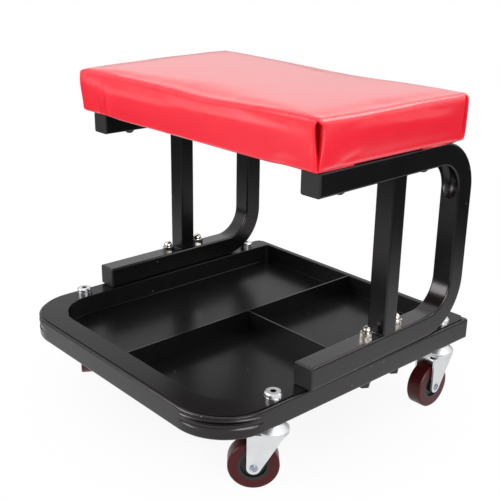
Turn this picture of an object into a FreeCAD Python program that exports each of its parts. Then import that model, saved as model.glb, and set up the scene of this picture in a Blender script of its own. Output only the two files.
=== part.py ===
"""Creeper seat: a padded mechanic's seat on two bent-tube side frames over a rolling tool tray.

Frame: X runs across the seat, Y runs from the front (open ends of the side frames) to the
rear (their bends), Z is up. The origin lies on the floor, midway across the base frame.
"""
import FreeCAD, Part
import Sketcher
import math
import os

from FreeCAD import Rotation, Vector

doc = FreeCAD.newDocument("creeper_seat")
sheet = doc.addObject("Spreadsheet::Sheet", "Sizes")


class Size:
    """A length or ratio with the sheet formula that it comes from."""

    def __init__(self, value, text):
        self.value = value
        self.text = text

    def joined(self, other, sign, value):
        return Size(value, "(%s %s %s)" % (self.text, sign, text_of(other)))

    def __add__(self, other):
        return self.joined(other, "+", self.value + value_of(other))

    def __sub__(self, other):
        return self.joined(other, "-", self.value - value_of(other))

    def __mul__(self, other):
        return self.joined(other, "*", self.value * value_of(other))

    def __truediv__(self, other):
        return self.joined(other, "/", self.value / value_of(other))

    def __rmul__(self, other):
        return self * other

    def __neg__(self):
        return Size(-self.value, "(-1 * %s)" % self.text)


def value_of(item):
    return item.value if isinstance(item, Size) else float(item)


def text_of(item):
    return item.text if isinstance(item, Size) else repr(float(item))


def root(item):
    return Size(math.sqrt(item.value), "sqrt(%s)" % item.text)


row_count = 0


def size(alias, number, note):
    """Put one driving dimension into the sheet and hand back its Size."""
    global row_count
    row_count += 1
    sheet.set("A%d" % row_count, alias)
    sheet.set("B%d" % row_count, repr(number))
    sheet.set("C%d" % row_count, note)
    sheet.setAlias("B%d" % row_count, alias)
    return Size(float(number), "Sizes.%s" % alias)


ZERO = Size(0.0, "0")

# Square tube that the base and the side frames are bent from
tube = size("tube", 25.0, "outside width of the square tube")
tube_wall = size("tube_wall", 1.5, "wall of the square tube")
tube_round = size("tube_round", 2.5, "outside corner radius of the square tube")
press_gap = size("press_gap", 0.1, "clearance round a plug or a bolt that is pushed in")

# Base: a U of square tube, open at the rear
base_width = size("base_width", 373.0, "outside width of the base")
base_depth = size("base_depth", 391.0, "outside depth of the base, front to rear")
hoop_radius = size("hoop_radius", 60.0, "outside radius of the two front corners")
crease_depth = size("crease_depth", 4.0, "depth of the crease round the outside of a corner")
crease_round = size("crease_round", 3.0, "radius of the crease's section")
crease_level = size("crease_level", 20.6, "height of the crease above the base's underside")
dent_depth = size("dent_depth", 2.4, "depth of the shallow dent under a crease")
dent_round = size("dent_round", 5.0, "radius of the dent's section")
dent_level = size("dent_level", 13.2, "height of the dent above the base's underside")

# Tool tray: one pressed pan with a flange that lies on the base
sheet_metal = size("sheet_metal", 1.2, "thickness of the pan's sheet")
flange_inset = size("flange_inset", 3.0, "edge of the flange to the base's outer face")
pan_gap = size("pan_gap", 0.8, "pan wall to the inner face of the base tube")
pan_depth = size("pan_depth", 23.4, "flange top down to the tray floor")
pan_front = size("pan_front", 28.3, "base's front face to the inside of the pan's front wall")
pan_radius = size("pan_radius", 50.0, "inside radius of the pan's front corners")
pan_rear_radius = size("pan_rear_radius", 4.0, "inside radius of the pan's rear corners")
rear_lip = size("rear_lip", 7.0, "width of the flange behind the pan's rear wall")
rear_setback = size("rear_setback", 1.0, "rear edge of the flange to the rear face of the base")
flange_corner = size("flange_corner", 7.0, "cut on the rear corners of the flange")
lip_round = size("lip_round", 0.9, "rounding of the pan's pressed edges")
divider_sheet = size("divider_sheet", 1.5, "thickness of a divider's sheet")
divider_drop = size("divider_drop", 0.4, "top of a divider below the flange")
divider_foot = size("divider_foot", 8.0, "width of a divider's folded foot")
cross_place = size("cross_place", 203.3, "base's front face to the cross divider")

# Side frames: crush-bent C of the same tube, with a post between the arms
frame_front = size("frame_front", 117.0, "base's front face to the front ends of the arms")
frame_setback = size("frame_setback", 20.0, "base's rear face to the rear of the bends")
frame_shift = size("frame_shift", 2.2, "how far a side frame stands out from its rail's middle")
frame_height = size("frame_height", 224.0, "flange top to the top of the upper arm")
bend_radius = size("bend_radius", 60.0, "outside radius of the bends of the side frames")
dish_depth = size("dish_depth", 9.0, "depth of the dished inner wall in mid bend")
dish_reach = size("dish_reach", 10.0, "how far the dish runs past the bend")
dish_edge = size("dish_edge", 1.6, "side face of the tube to the edge of the dish")
post_width = size("post_width", 23.6, "outside width of the post's tube across the seat")
post_depth = size("post_depth", 20.5, "outside width of the post's tube front to rear")
post_wall = size("post_wall", 1.5, "wall of the post's tube")
post_round = size("post_round", 2.0, "corner radius of the post's tube")
post_share = size("post_share", 0.4862, "share of a side frame's length before the post's middle")
weld_leg = size("weld_leg", 1.8, "leg of the weld beads at the ends of a post")

# Plastic plugs in the open ends of the tubes
plug_rim = size("plug_rim", 2.2, "thickness of the part of a plug that shows")
plug_bevel = size("plug_bevel", 0.9, "bevel round a plug's face")
plug_length = size("plug_length", 14.0, "length of a plug inside the tube")
plug_wall = size("plug_wall", 2.0, "wall of a plug's skirt")

# Bolts that hold the side frames down through pan and base
clamp_bolt = size("clamp_bolt", 8.0, "thread diameter of the frame bolts")
clamp_spacing = size("clamp_spacing", 25.0, "post's middle to a frame bolt")
clamp_flats = size("clamp_flats", 13.0, "width across flats of the frame bolts and nuts")
clamp_head = size("clamp_head", 5.3, "height of a frame bolt's head")
clamp_stub = size("clamp_stub", 6.0, "thread that stands into the acorn nut")
clamp_nut = size("clamp_nut", 6.5, "height of an acorn nut's hexagon")
clamp_dome = size("clamp_dome", 5.2, "radius of an acorn nut's dome")
clamp_dome_rise = size("clamp_dome_rise", 1.5, "straight collar under an acorn nut's dome")
clamp_washer = size("clamp_washer", 16.0, "outside diameter of the frame bolts' washers")
clamp_washer_sheet = size("clamp_washer_sheet", 1.6, "thickness of the frame bolts' washers")

# Casters: bolt through the base, raceway cup, balls, fork, wheel
front_caster = size("front_caster", 82.0, "base's front face to the front casters' bolts")
rear_caster = size("rear_caster", 37.0, "base's rear face to the rear casters' bolts")
stem_bolt = size("stem_bolt", 10.0, "thread diameter of the caster bolts")
stem_head = size("stem_head", 18.0, "diameter of a caster bolt's head")
stem_head_height = size("stem_head_height", 4.6, "height of a caster bolt's head")
stem_head_bevel = size("stem_head_bevel", 1.4, "bevel round a caster bolt's head")
stem_socket = size("stem_socket", 6.0, "width across flats of the bolt's hexagon socket")
stem_socket_depth = size("stem_socket_depth", 3.2, "depth of the hexagon socket")
spring_washer = size("spring_washer", 18.4, "outside diameter of the spring washers")
spring_washer_sheet = size("spring_washer_sheet", 2.4, "thickness of the spring washers")
spring_washer_slit = size("spring_washer_slit", 1.4, "width of a spring washer's slit")
cup_radius = size("cup_radius", 17.4, "outside radius of a raceway cup")
cup_top = size("cup_top", 11.0, "radius of the cup's flat top")
cup_sheet = size("cup_sheet", 1.6, "thickness of the cup's sheet")
cup_height = size("cup_height", 9.2, "height of the cup")
cup_skirt = size("cup_skirt", 2.1, "height of the cup's upright rim")
ball_ring = size("ball_ring", 10.0, "radius of the ring of balls")
ball_radius = size("ball_radius", 3.0, "radius of a ball")
ball_level = size("ball_level", 6.4, "base's underside to the balls' middles")
ball_count = 10
crown_gap = size("crown_gap", 0.4, "cup's rim to the top of the fork")
fork_sheet = size("fork_sheet", 2.3, "thickness of the fork's plate")
fork_half = size("fork_half", 13.4, "wheel's middle to the outer face of a fork side")
fork_trail = size("fork_trail", 18.3, "swivel axis to the axle")
axle_drop = size("axle_drop", 47.0, "base's underside to the axle")
fork_foot = size("fork_foot", 7.2, "radius of the fork's rounded foot")
fork_brow = size("fork_brow", 12.0, "base's underside to where the fork's front edge slants")
swivel_gap = size("swivel_gap", 0.25, "radial clearance of the fork on its bolt")
nut_washer = size("nut_washer", 18.0, "outside diameter of the washer under the fork's crown")
nut_washer_sheet = size("nut_washer_sheet", 1.5, "thickness of that washer")
nut_gap = size("nut_gap", 0.3, "running clearance under the crown")
stem_nut = size("stem_nut", 16.0, "width across flats of the caster nuts")
stem_nut_height = size("stem_nut_height", 6.6, "height of the caster nuts")
stem_tip = size("stem_tip", 1.0, "thread that stands out of a caster nut")
axle = size("axle", 6.0, "diameter of the axle")
axle_head = size("axle_head", 7.6, "diameter of the axle's rivet heads")
axle_head_rise = size("axle_head_rise", 1.6, "height of a rivet head")
dimple = size("dimple", 9.0, "diameter of the dimple round a rivet head")
dimple_depth = size("dimple_depth", 1.2, "depth of that dimple")
axle_gap = size("axle_gap", 0.1, "radial clearance of the axle in the fork")
bush = size("bush", 9.0, "outside diameter of the wheel's bearing bush")
bush_gap = size("bush_gap", 0.06, "radial running clearance of the wheel on its bush")
wheel_radius = size("wheel_radius", 26.5, "radius of the wheel")
tread_width = size("tread_width", 18.5, "width of the tread")
tread_bevel = size("tread_bevel", 1.2, "bevel on the tread's edges")
core_radius = size("core_radius", 16.7, "radius of the wheel's core")
core_ring = size("core_ring", 13.4, "inside radius of the core's raised ring")
core_dish = size("core_dish", 3.0, "depth of the core's dished faces")
hub_radius = size("hub_radius", 7.5, "radius of the core's hub")
hub_gap = size("hub_gap", 0.3, "end of the hub to the fork")

# Seat
seat_beyond = size("seat_beyond", 9.5, "how far the cushion stands out past the base at each side")
seat_inset = size("seat_inset", 38.0, "rear of the bends to the rear of the cushion")
seat_height = size("seat_height", 50.5, "cushion's lower edge to its upper edge")
seat_crown = size("seat_crown", 2.6, "rise of the cushion's middle over its edge")
seat_overhang = size("seat_overhang", 8.0, "cushion's front over the arms' front ends")
seat_draw = size("seat_draw", 2.5, "how far the sides draw in at the lower edge")
seat_roll = size("seat_roll", 8.5, "radius of the rolled upper edge")
seat_corner = size("seat_corner", 11.0, "radius of the upright corners")
vinyl = size("vinyl", 1.2, "thickness of the vinyl")
foam_gap = size("foam_gap", 0.3, "foam to the vinyl")
hem_width = size("hem_width", 26.0, "width of the hem folded under the board")
fold_width = size("fold_width", 44.0, "length of the thicker folds at the corners")
fold_rise = size("fold_rise", 1.3, "thickness of the corner folds")
board_sheet = size("board_sheet", 9.0, "thickness of the plywood board")
board_inset = size("board_inset", 4.6, "edge of the board to the cushion's outline")
seat_screw = size("seat_screw", 6.0, "thread diameter of the seat screws")
seat_screw_head = size("seat_screw_head", 11.0, "diameter of their heads")
seat_screw_rise = size("seat_screw_rise", 3.6, "height of their heads")
seat_screw_front = size("seat_screw_front", 42.0, "front end of an arm to the front screws")
seat_screw_rear = size("seat_screw_rear", 79.0, "rear of the bends to the rear screws")
screw_washer = size("screw_washer", 14.0, "outside diameter of the screws' washers")
screw_washer_sheet = size("screw_washer_sheet", 1.2, "thickness of the screws' washers")
insert_barrel = size("insert_barrel", 7.8, "diameter of a threaded insert's barrel")
insert_flange = size("insert_flange", 17.0, "diameter of a threaded insert's flange")
insert_sheet = size("insert_sheet", 1.3, "thickness of a threaded insert's flange")
staple_width = size("staple_width", 10.0, "width of a staple")
staple_wire = size("staple_wire", 1.0, "thickness of a staple's wire")
staple_leg = size("staple_leg", 7.0, "length of a staple's legs")
staple_edge = size("staple_edge", 17.0, "cushion's outline to the line of staples")
staple_pitch = size("staple_pitch", 46.0, "distance between staples")

overrun = size("overrun", 5.0, "how far a cutting shape runs past what it cuts")

# Levels and places worked out from the sizes above
half = 0.5
slack_share = 0.01
root_half = math.sqrt(half)
base_bottom = wheel_radius + axle_drop
base_top = base_bottom + tube
deck = base_top + sheet_metal
arm_top = deck + frame_height
floor_top = deck - pan_depth
half_width = base_width * half
base_front = base_depth * -half
base_rear = base_depth * half
rail_middle = half_width - tube * half
rail_rear = base_rear - plug_rim
arm_front = base_front + frame_front
frame_rear = base_rear - frame_setback
frame_length = frame_rear - arm_front
post_middle = arm_front + frame_length * post_share
pan_half = half_width - tube - pan_gap - sheet_metal
pan_front_wall = base_front + pan_front
pan_rear_wall = base_rear - rear_setback - rear_lip
seat_bottom = arm_top + fold_rise
seat_width = base_width + seat_beyond * 2
seat_depth = frame_length + seat_overhang - seat_inset
seat_front = arm_front - seat_overhang
seat_middle = seat_front + seat_depth * half
board_bottom = seat_bottom + vinyl
board_top = board_bottom + board_sheet
top_draw_share = 0.1
top_draw = seat_draw * top_draw_share
low_share = 0.3
low_draw_share = 0.2
widest_share = 0.55
crown_rise_share = 0.62
crown_start_share = 0.1
crown_end_share = 0.3
pan_head_share = 0.6
pan_edge_share = 0.4

CORNERS = {
    "front_left": (-1, base_front + front_caster, 330.0),
    "front_right": (1, base_front + front_caster, 229.0),
    "rear_left": (-1, base_rear - rear_caster, 277.0),
    "rear_right": (1, base_rear - rear_caster, 271.0),
}
SIDES = {"left": -1, "right": 1}
SEAT_SCREW_ALONG = (arm_front + seat_screw_front - post_middle,
                    frame_rear - seat_screw_rear - post_middle)
FRAME_TURN = {"left": 0.0, "right": 1.3}
nodes = []


def bind(thing, path, item):
    """Tie one property of an object to the formula of a Size."""
    thing.setExpression(path, text_of(item))


def kept(thing, label):
    """Note an object as one of the pieces that are written out."""
    thing.Label = label
    nodes.append(thing)
    return thing


def new_body(name):
    return doc.addObject("PartDesign::Body", name)


def place(thing, x=ZERO, y=ZERO, z=ZERO, angle=None, axis=Vector(0, 0, 1)):
    """Put an object at x, y, z, turned about an axis."""
    if angle is not None:
        thing.Placement = FreeCAD.Placement(Vector(0, 0, 0), Rotation(axis, float(angle)))
    for letter, item in (("x", x), ("y", y), ("z", z)):
        bind(thing, "Placement.Base." + letter, item)


def new_sketch(body, plane, offset=ZERO):
    """A sketch on one of the body's own planes, moved along the plane's normal."""
    sketch = body.newObject("Sketcher::SketchObject", body.Name + "_sketch")
    flat = [f for f in body.Origin.OriginFeatures if f.Role == plane + "_Plane"][0]
    sketch.AttachmentSupport = (flat, "")
    sketch.MapMode = "FlatFace"
    bind(sketch, "AttachmentOffset.Base.z", offset)
    return sketch


def pin(sketch, curve, end, x, y):
    """Fix one end of a curve at x, y of its sketch."""
    for kind, item in (("DistanceX", x), ("DistanceY", y)):
        number = sketch.addConstraint(Sketcher.Constraint(kind, -1, 1, curve, end, value_of(item)))
        bind(sketch, "Constraints[%d]" % number, item)


def pin_middle(sketch, curve, before, point):
    """Fix an arc's centre across its chord, where its two ends leave it free."""
    flat = abs(value_of(point[0]) - value_of(before[0])) > abs(value_of(point[1]) - value_of(before[1]))
    kind, item = ("DistanceY", point[3]) if flat else ("DistanceX", point[2])
    number = sketch.addConstraint(Sketcher.Constraint(kind, -1, 1, curve, 3, value_of(item)))
    bind(sketch, "Constraints[%d]" % number, item)


def outline(sketch, points):
    """A closed outline. A point is (x, y), or (x, y, centre x, centre y, turn) where the run
    that arrives at it is an arc: turn 1 goes counter-clockwise and -1 clockwise."""
    curves = []
    for index, point in enumerate(points):
        before = points[index - 1]
        start = Vector(value_of(before[0]), value_of(before[1]), 0)
        stop = Vector(value_of(point[0]), value_of(point[1]), 0)
        if len(point) == 2:
            curves.append((sketch.addGeometry(Part.LineSegment(start, stop), False), 1, 2))
            continue
        middle = Vector(value_of(point[2]), value_of(point[3]), 0)
        radius = (stop - middle).Length
        first = math.atan2(start.y - middle.y, start.x - middle.x)
        last = math.atan2(stop.y - middle.y, stop.x - middle.x)
        ring = Part.Circle(middle, Vector(0, 0, 1), radius)
        ends = (first, last) if point[4] > 0 else (last, first)
        number = sketch.addGeometry(Part.ArcOfCircle(ring, *ends), False)
        curves.append((number, 1, 2) if point[4] > 0 else (number, 2, 1))
    for index, point in enumerate(points):
        curve, first_end, last_end = curves[index]
        after, after_first, after_last = curves[(index + 1) % len(points)]
        sketch.addConstraint(Sketcher.Constraint("Coincident", curve, last_end, after, after_first))
        pin(sketch, curve, last_end, point[0], point[1])
        if len(point) > 2:
            pin_middle(sketch, curve, points[index - 1], point)
    return sketch


def rounded(x0, y0, x1, y1, r):
    """The points of a rectangle from x0, y0 to x1, y1 with corners of radius r."""
    return [(x0 + r, y0, x0 + r, y0 + r, 1), (x1 - r, y0), (x1, y0 + r, x1 - r, y0 + r, 1),
            (x1, y1 - r), (x1 - r, y1, x1 - r, y1 - r, 1), (x0 + r, y1),
            (x0, y1 - r, x0 + r, y1 - r, 1), (x0, y0 + r)]


def box_points(x0, y0, x1, y1):
    return [(x0, y0), (x1, y0), (x1, y1), (x0, y1)]


def circle(sketch, x, y, radius):
    ring = Part.Circle(Vector(value_of(x), value_of(y), 0), Vector(0, 0, 1), value_of(radius))
    number = sketch.addGeometry(ring, False)
    pin(sketch, number, 3, x, y)
    tie = sketch.addConstraint(Sketcher.Constraint("Radius", number, value_of(radius)))
    bind(sketch, "Constraints[%d]" % tie, radius)
    return sketch


def hexagon(flats):
    """The points of a hexagon about the sketch's origin, by its width across flats."""
    side = flats / math.sqrt(3)
    return [(side * half, flats * -half), (side, ZERO), (side * half, flats * half),
            (side * -half, flats * half), (-side, ZERO), (side * -half, flats * -half)]


def pad(body, sketch, length, reverse=False, middle=False):
    feature = body.newObject("PartDesign::Pad", body.Name + "_pad")
    feature.Profile = sketch
    feature.Reversed = reverse
    feature.SideType = "Symmetric" if middle else "One side"
    bind(feature, "Length", length)
    return feature


def pocket(body, sketch, length, reverse=False, middle=False):
    """Cut a profile out of the body. Unless reversed, it cuts against the sketch's normal."""
    feature = body.newObject("PartDesign::Pocket", body.Name + "_pocket")
    feature.Profile = sketch
    feature.Reversed = reverse
    feature.SideType = "Symmetric" if middle else "One side"
    bind(feature, "Length", length)
    return feature


def spin(body, sketch, axis="V_Axis", kind="Revolution", angle=360.0, reverse=False):
    """Revolve or groove a sketch about one of its own axes."""
    feature = body.newObject("PartDesign::" + kind, body.Name + "_turned")
    feature.Profile = sketch
    feature.ReferenceAxis = (sketch, [axis])
    feature.Angle = angle
    feature.Reversed = reverse
    return feature


def turned(name, points):
    """A solid of revolution about Z from a half section of x, z points."""
    body = new_body(name)
    spin(body, outline(new_sketch(body, "XZ"), points))
    return body


def group(label, members):
    """One node that holds several alike solids."""
    holder = doc.addObject("Part::Compound", label)
    holder.Links = members
    return kept(holder, label)


def soften(body, feature, radius, choose):
    """Round those edges of a feature that choose picks."""
    doc.recompute()
    names = ["Edge%d" % (i + 1) for i, edge in enumerate(feature.Shape.Edges) if choose(edge)]
    rounding = body.newObject("PartDesign::Fillet", body.Name + "_round")
    rounding.Base = (feature, names)
    bind(rounding, "Radius", radius)
    return rounding


def at_level(edge, level):
    """Whether an edge lies flat at a height."""
    box = edge.BoundBox
    near = value_of(lip_round) * slack_share
    return abs(box.ZMin - value_of(level)) < near and abs(box.ZMax - value_of(level)) < near


def sink_corner(body, side, depth, bend, level):
    """Sink the outside of one front corner: a groove that is deepest in mid corner and runs
    out where the corner meets its straight runs."""
    keep = hoop_radius - depth
    shift = (hoop_radius * hoop_radius - keep * keep) / (keep * 2 - hoop_radius * 2 * root_half)
    x = half_width - hoop_radius - shift * root_half
    y = base_front + hoop_radius + shift * root_half
    ring = keep + shift + bend
    sketch = new_sketch(body, "XZ", -y)
    circle(sketch, side * (x + ring), base_bottom + level, bend)
    groove = body.newObject("PartDesign::Groove", body.Name + "_sunk")
    groove.Profile = sketch
    axis = sketch.addGeometry(Part.LineSegment(
        Vector(side * x.value, base_bottom.value, 0), Vector(side * x.value, base_top.value, 0)), True)
    pin(sketch, axis, 1, side * x, base_bottom)
    pin(sketch, axis, 2, side * x, base_top)
    groove.ReferenceAxis = (sketch, ["Axis0"])
    groove.Angle = 90.0
    groove.Reversed = side > 0
    return groove


def base_tube():
    """The U of square tube under everything, hollow, with creased front corners."""
    body = new_body("base_tube")
    path = new_sketch(body, "XY", base_bottom + tube * half)
    far = rail_middle
    inner = tube * half - tube_wall
    radius = hoop_radius - tube * half
    front = base_front + tube * half
    run = [(-far, rail_rear), (-far, front + radius), (radius - far, front, radius - far, front + radius, 1),
           (far - radius, front), (far, front + radius, far - radius, front + radius, 1), (far, rail_rear)]
    open_run(path, run)
    section = new_sketch(body, "XZ", -rail_rear)
    outline(section, rounded(-far - tube * half, base_bottom, tube * half - far, base_top, tube_round))
    pipe = body.newObject("PartDesign::AdditivePipe", "base_tube_pipe")
    pipe.Profile = section
    pipe.Spine = (path, [])
    narrow = new_sketch(body, "XZ", -rail_rear)
    outline(narrow, box_points(crease_depth + tube_wall - far - inner, base_bottom + tube_wall,
                               inner - far, base_top - tube_wall))
    bore = body.newObject("PartDesign::SubtractivePipe", "base_tube_bore")
    bore.Profile = narrow
    bore.Spine = (path, [])
    for side in (-1, 1):
        hollow = new_sketch(body, "XZ", -rail_rear)
        outline(hollow, box_points(side * far - inner, base_bottom + tube_wall,
                                   side * far + inner, base_top - tube_wall))
        pocket(body, hollow, base_depth - hoop_radius, True)
    cross = new_sketch(body, "YZ")
    outline(cross, box_points(base_front + tube_wall, base_bottom + tube_wall,
                              base_front + tube - tube_wall, base_top - tube_wall))
    pocket(body, cross, base_width - hoop_radius * 2, middle=True)
    for side in (-1, 1):
        sink_corner(body, side, crease_depth, crease_round, crease_level)
        sink_corner(body, side, dent_depth, dent_round, dent_level)
    drill(body, base_bottom, base_top)
    return kept(body, "base_tube")


def open_run(sketch, points):
    """An open path of lines and tangent arcs through points given as for an outline."""
    last = None
    for index in range(1, len(points)):
        before = points[index - 1]
        point = points[index]
        start = Vector(value_of(before[0]), value_of(before[1]), 0)
        stop = Vector(value_of(point[0]), value_of(point[1]), 0)
        ends = (1, 2)
        if len(point) == 2:
            curve = sketch.addGeometry(Part.LineSegment(start, stop), False)
        else:
            middle = Vector(value_of(point[2]), value_of(point[3]), 0)
            ring = Part.Circle(middle, Vector(0, 0, 1), (stop - middle).Length)
            first = math.atan2(start.y - middle.y, start.x - middle.x)
            final = math.atan2(stop.y - middle.y, stop.x - middle.x)
            turn = (first, final) if point[4] > 0 else (final, first)
            ends = (1, 2) if point[4] > 0 else (2, 1)
            curve = sketch.addGeometry(Part.ArcOfCircle(ring, *turn), False)
        if last is None:
            pin(sketch, curve, ends[0], before[0], before[1])
        else:
            sketch.addConstraint(Sketcher.Constraint("Coincident", last[0], last[1], curve, ends[0]))
        pin(sketch, curve, ends[1], point[0], point[1])
        if len(point) > 2:
            pin_middle(sketch, curve, before, point)
        last = (curve, ends[1])
    return sketch


def drill(body, bottom, top):
    """The holes for the caster bolts and the frame bolts, from one level to another."""
    sketch = new_sketch(body, "XY", top + overrun)
    for side, y, _ in CORNERS.values():
        circle(sketch, side * rail_middle, y, stem_bolt * half + press_gap)
    for x, y in frame_places():
        circle(sketch, x, y, clamp_bolt * half + press_gap)
    return pocket(body, sketch, top - bottom + overrun * 2)


def tray_pan():
    """The pressed pan: a flange on the base tube and one recess between its rails."""
    body = new_body("tray_pan")
    edge = half_width - flange_inset
    front = base_front + flange_inset
    rear = base_rear - rear_setback
    corner = hoop_radius - flange_inset
    flange = new_sketch(body, "XY", base_top)
    outline(flange, [(corner - edge, front, corner - edge, front + corner, 1), (edge - corner, front),
                     (edge, front + corner, edge - corner, front + corner, 1),
                     (edge, rear - flange_corner), (edge - flange_corner, rear),
                     (flange_corner - edge, rear), (-edge, rear - flange_corner),
                     (-edge, front + corner)])
    pad(body, flange, sheet_metal)
    well = new_sketch(body, "XY", floor_top - sheet_metal)
    recess(well, sheet_metal)
    pad(body, well, base_top - floor_top + sheet_metal)
    inside = new_sketch(body, "XY", floor_top)
    recess(inside, ZERO)
    cut = pocket(body, inside, pan_depth + overrun, True)

    def rim(edge):
        box = edge.BoundBox
        return (at_level(edge, deck) and abs(box.XMin) < pan_half.value + sheet_metal.value
                and abs(box.XMax) < pan_half.value + sheet_metal.value
                and box.YMin > pan_front_wall.value - sheet_metal.value
                and box.YMax < pan_rear_wall.value + sheet_metal.value)

    soften(body, cut, lip_round, lambda edge: rim(edge) or at_level(edge, floor_top))
    drill(body, base_top, deck)
    return kept(body, "tray_pan")


def recess(sketch, out):
    """The pan's recess, let out by a sheet's thickness for its outer face."""
    x = pan_half + out
    y0 = pan_front_wall - out
    y1 = pan_rear_wall + out
    r = pan_radius + out
    q = pan_rear_radius + out
    return outline(sketch, [(r - x, y0, r - x, y0 + r, 1), (x - r, y0), (x, y0 + r, x - r, y0 + r, 1),
                            (x, y1 - q), (x - q, y1, x - q, y1 - q, 1), (q - x, y1),
                            (-x, y1 - q, q - x, y1 - q, 1), (-x, y0 + r)])


def dividers():
    """The long divider down the middle and the cross divider in the right half, each folded
    from a strip with a foot that is spot welded to the floor."""
    top = deck - divider_drop
    side = divider_sheet * half
    long_one = new_body("tray_divider_long")
    sketch = new_sketch(long_one, "XZ", -pan_front_wall)
    outline(sketch, [(-side - divider_foot, floor_top), (side, floor_top), (side, top), (-side, top),
                     (-side, floor_top + divider_sheet), (-side - divider_foot, floor_top + divider_sheet)])
    pad(long_one, sketch, pan_rear_wall - pan_front_wall, True)
    trim_ends(long_one)
    kept(long_one, "tray_divider_long")
    cross = new_body("tray_divider_cross")
    line = base_front + cross_place
    sketch = new_sketch(cross, "YZ", side)
    outline(sketch, [(line - side, floor_top), (line + side + divider_foot, floor_top),
                     (line + side + divider_foot, floor_top + divider_sheet),
                     (line + side, floor_top + divider_sheet), (line + side, top), (line - side, top)])
    pad(cross, sketch, pan_half - side)
    kept(cross, "tray_divider_cross")


def trim_ends(body):
    """Clear the long divider's foot from the pan's rounded floor edges."""
    for level in (pan_front_wall, pan_rear_wall):
        sketch = new_sketch(body, "YZ")
        outline(sketch, box_points(level - lip_round, floor_top - overrun,
                                   level + lip_round, floor_top + lip_round))
        pocket(body, sketch, (divider_foot + divider_sheet) * 2, middle=True)


def frame_spot(name, along):
    """The x and y of a point in the middle of a side frame, so far behind its post."""
    turn = math.radians(FRAME_TURN[name])
    middle = SIDES[name] * (rail_middle + frame_shift)
    return (middle - along * math.sin(turn), post_middle + along * math.cos(turn))


def set_in_frame(body, name, level=ZERO, along=ZERO):
    """Put a piece, modelled about the post's middle, on its side frame."""
    x, y = frame_spot(name, along)
    place(body, x, y, level, FRAME_TURN[name])


def side_tube(name):
    """One crush-bent C: two arms that are open to the front, bent into an upright."""
    body = new_body("side_tube_" + name)
    low = deck + tube * half
    high = arm_top - tube * half
    back = frame_rear - tube * half - post_middle
    radius = bend_radius - tube * half
    front = arm_front + plug_rim - post_middle
    wide = tube * half
    path = new_sketch(body, "YZ")
    open_run(path, [(front, low), (back - radius, low), (back, low + radius, back - radius, low + radius, 1),
                    (back, high - radius), (back - radius, high, back - radius, high - radius, 1),
                    (front, high)])
    section = new_sketch(body, "XZ", -front)
    outline(section, rounded(-wide, deck, wide, deck + tube, tube_round))
    pipe = body.newObject("PartDesign::AdditivePipe", body.Name + "_pipe")
    pipe.Profile = section
    pipe.Spine = (path, [])
    inner = tube * half - tube_wall
    narrow = new_sketch(body, "XZ", -front)
    outline(narrow, box_points(-inner, deck + tube_wall, inner,
                               deck + tube - dish_depth - tube_wall * 2))
    bore = body.newObject("PartDesign::SubtractivePipe", body.Name + "_bore")
    bore.Profile = narrow
    bore.Spine = (path, [])
    straight = back - radius - front - dish_reach * 2
    for level in (low, high):
        hollow = new_sketch(body, "XZ", -front)
        outline(hollow, box_points(-inner, level - inner, inner, level + inner))
        pocket(body, hollow, straight)
    for centre_z, way in ((low + radius, -1), (high - radius, 1)):
        dish(body, back - radius, centre_z, way)
    sink = new_sketch(body, "XY", deck + tube + overrun)
    for along in (-1, 1):
        circle(sink, ZERO, along * clamp_spacing, clamp_bolt * half + press_gap)
    pocket(body, sink, tube + overrun * 2)
    rise = new_sketch(body, "XY", arm_top + overrun)
    for along in SEAT_SCREW_ALONG:
        circle(rise, ZERO, along, seat_screw * half + press_gap)
    pocket(body, rise, tube + overrun * 2)
    set_in_frame(body, name)
    return kept(body, "side_tube_" + name)


def dish(body, centre_y, centre_z, way):
    """Sink the inner wall of one bend: a barrel shape that is deepest in mid bend and runs out
    on the straight stretches."""
    inside = bend_radius - tube
    deep = inside + dish_depth
    top = deep * deep - dish_reach * dish_reach - inside * inside
    step = top / ((deep - (inside - dish_reach) * root_half) * 2)
    radius = deep - step
    y = centre_y + step * root_half
    z = centre_z + way * step * root_half
    wide = tube * half - dish_edge
    arc = (wide * wide + dish_depth * dish_depth) / (dish_depth * 2)
    sketch = new_sketch(body, "XY", z)
    outline(sketch, [(wide, y), (wide, y + radius - dish_depth),
                     (-wide, y + radius - dish_depth, ZERO, y + radius - arc, 1), (-wide, y)])
    axis = sketch.addGeometry(Part.LineSegment(
        Vector(-wide.value, y.value, 0), Vector(wide.value, y.value, 0)), True)
    pin(sketch, axis, 1, -wide, y)
    pin(sketch, axis, 2, wide, y)
    groove = body.newObject("PartDesign::Groove", body.Name + "_dish")
    groove.Profile = sketch
    groove.ReferenceAxis = (sketch, ["Axis0"])
    groove.Angle = 360.0
    return groove


def post(name):
    """The upright tube between the two arms of a side frame."""
    body = new_body("post_" + name)
    set_in_frame(body, name, deck + tube)
    length = frame_height - tube * 2
    wide = post_width * half
    deep = post_depth * half
    pad(body, outline(new_sketch(body, "XY"), rounded(-wide, -deep, wide, deep, post_round)), length)
    bore = outline(new_sketch(body, "XY"), box_points(post_wall - wide, post_wall - deep,
                                                      wide - post_wall, deep - post_wall))
    pocket(body, bore, length, True)
    return kept(body, "post_" + name)


def weld_beads():
    """Fillet welds along the front and rear of each post, at its foot and its head."""
    beads = []
    for name in SIDES:
        for level, way in ((deck + tube, 1), (arm_top - tube, -1)):
            for along in (-1, 1):
                body = new_body("weld_%s" % name)
                y = along * post_depth * half
                sketch = new_sketch(body, "YZ")
                turn = along * way
                outline(sketch, [(y, level), (y + along * weld_leg, level),
                                 (y, level + way * weld_leg, y, level, turn)])
                pad(body, sketch, post_width - post_round * 2, middle=True)
                set_in_frame(body, name)
                beads.append(body)
    return group("weld_beads", beads)


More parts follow.
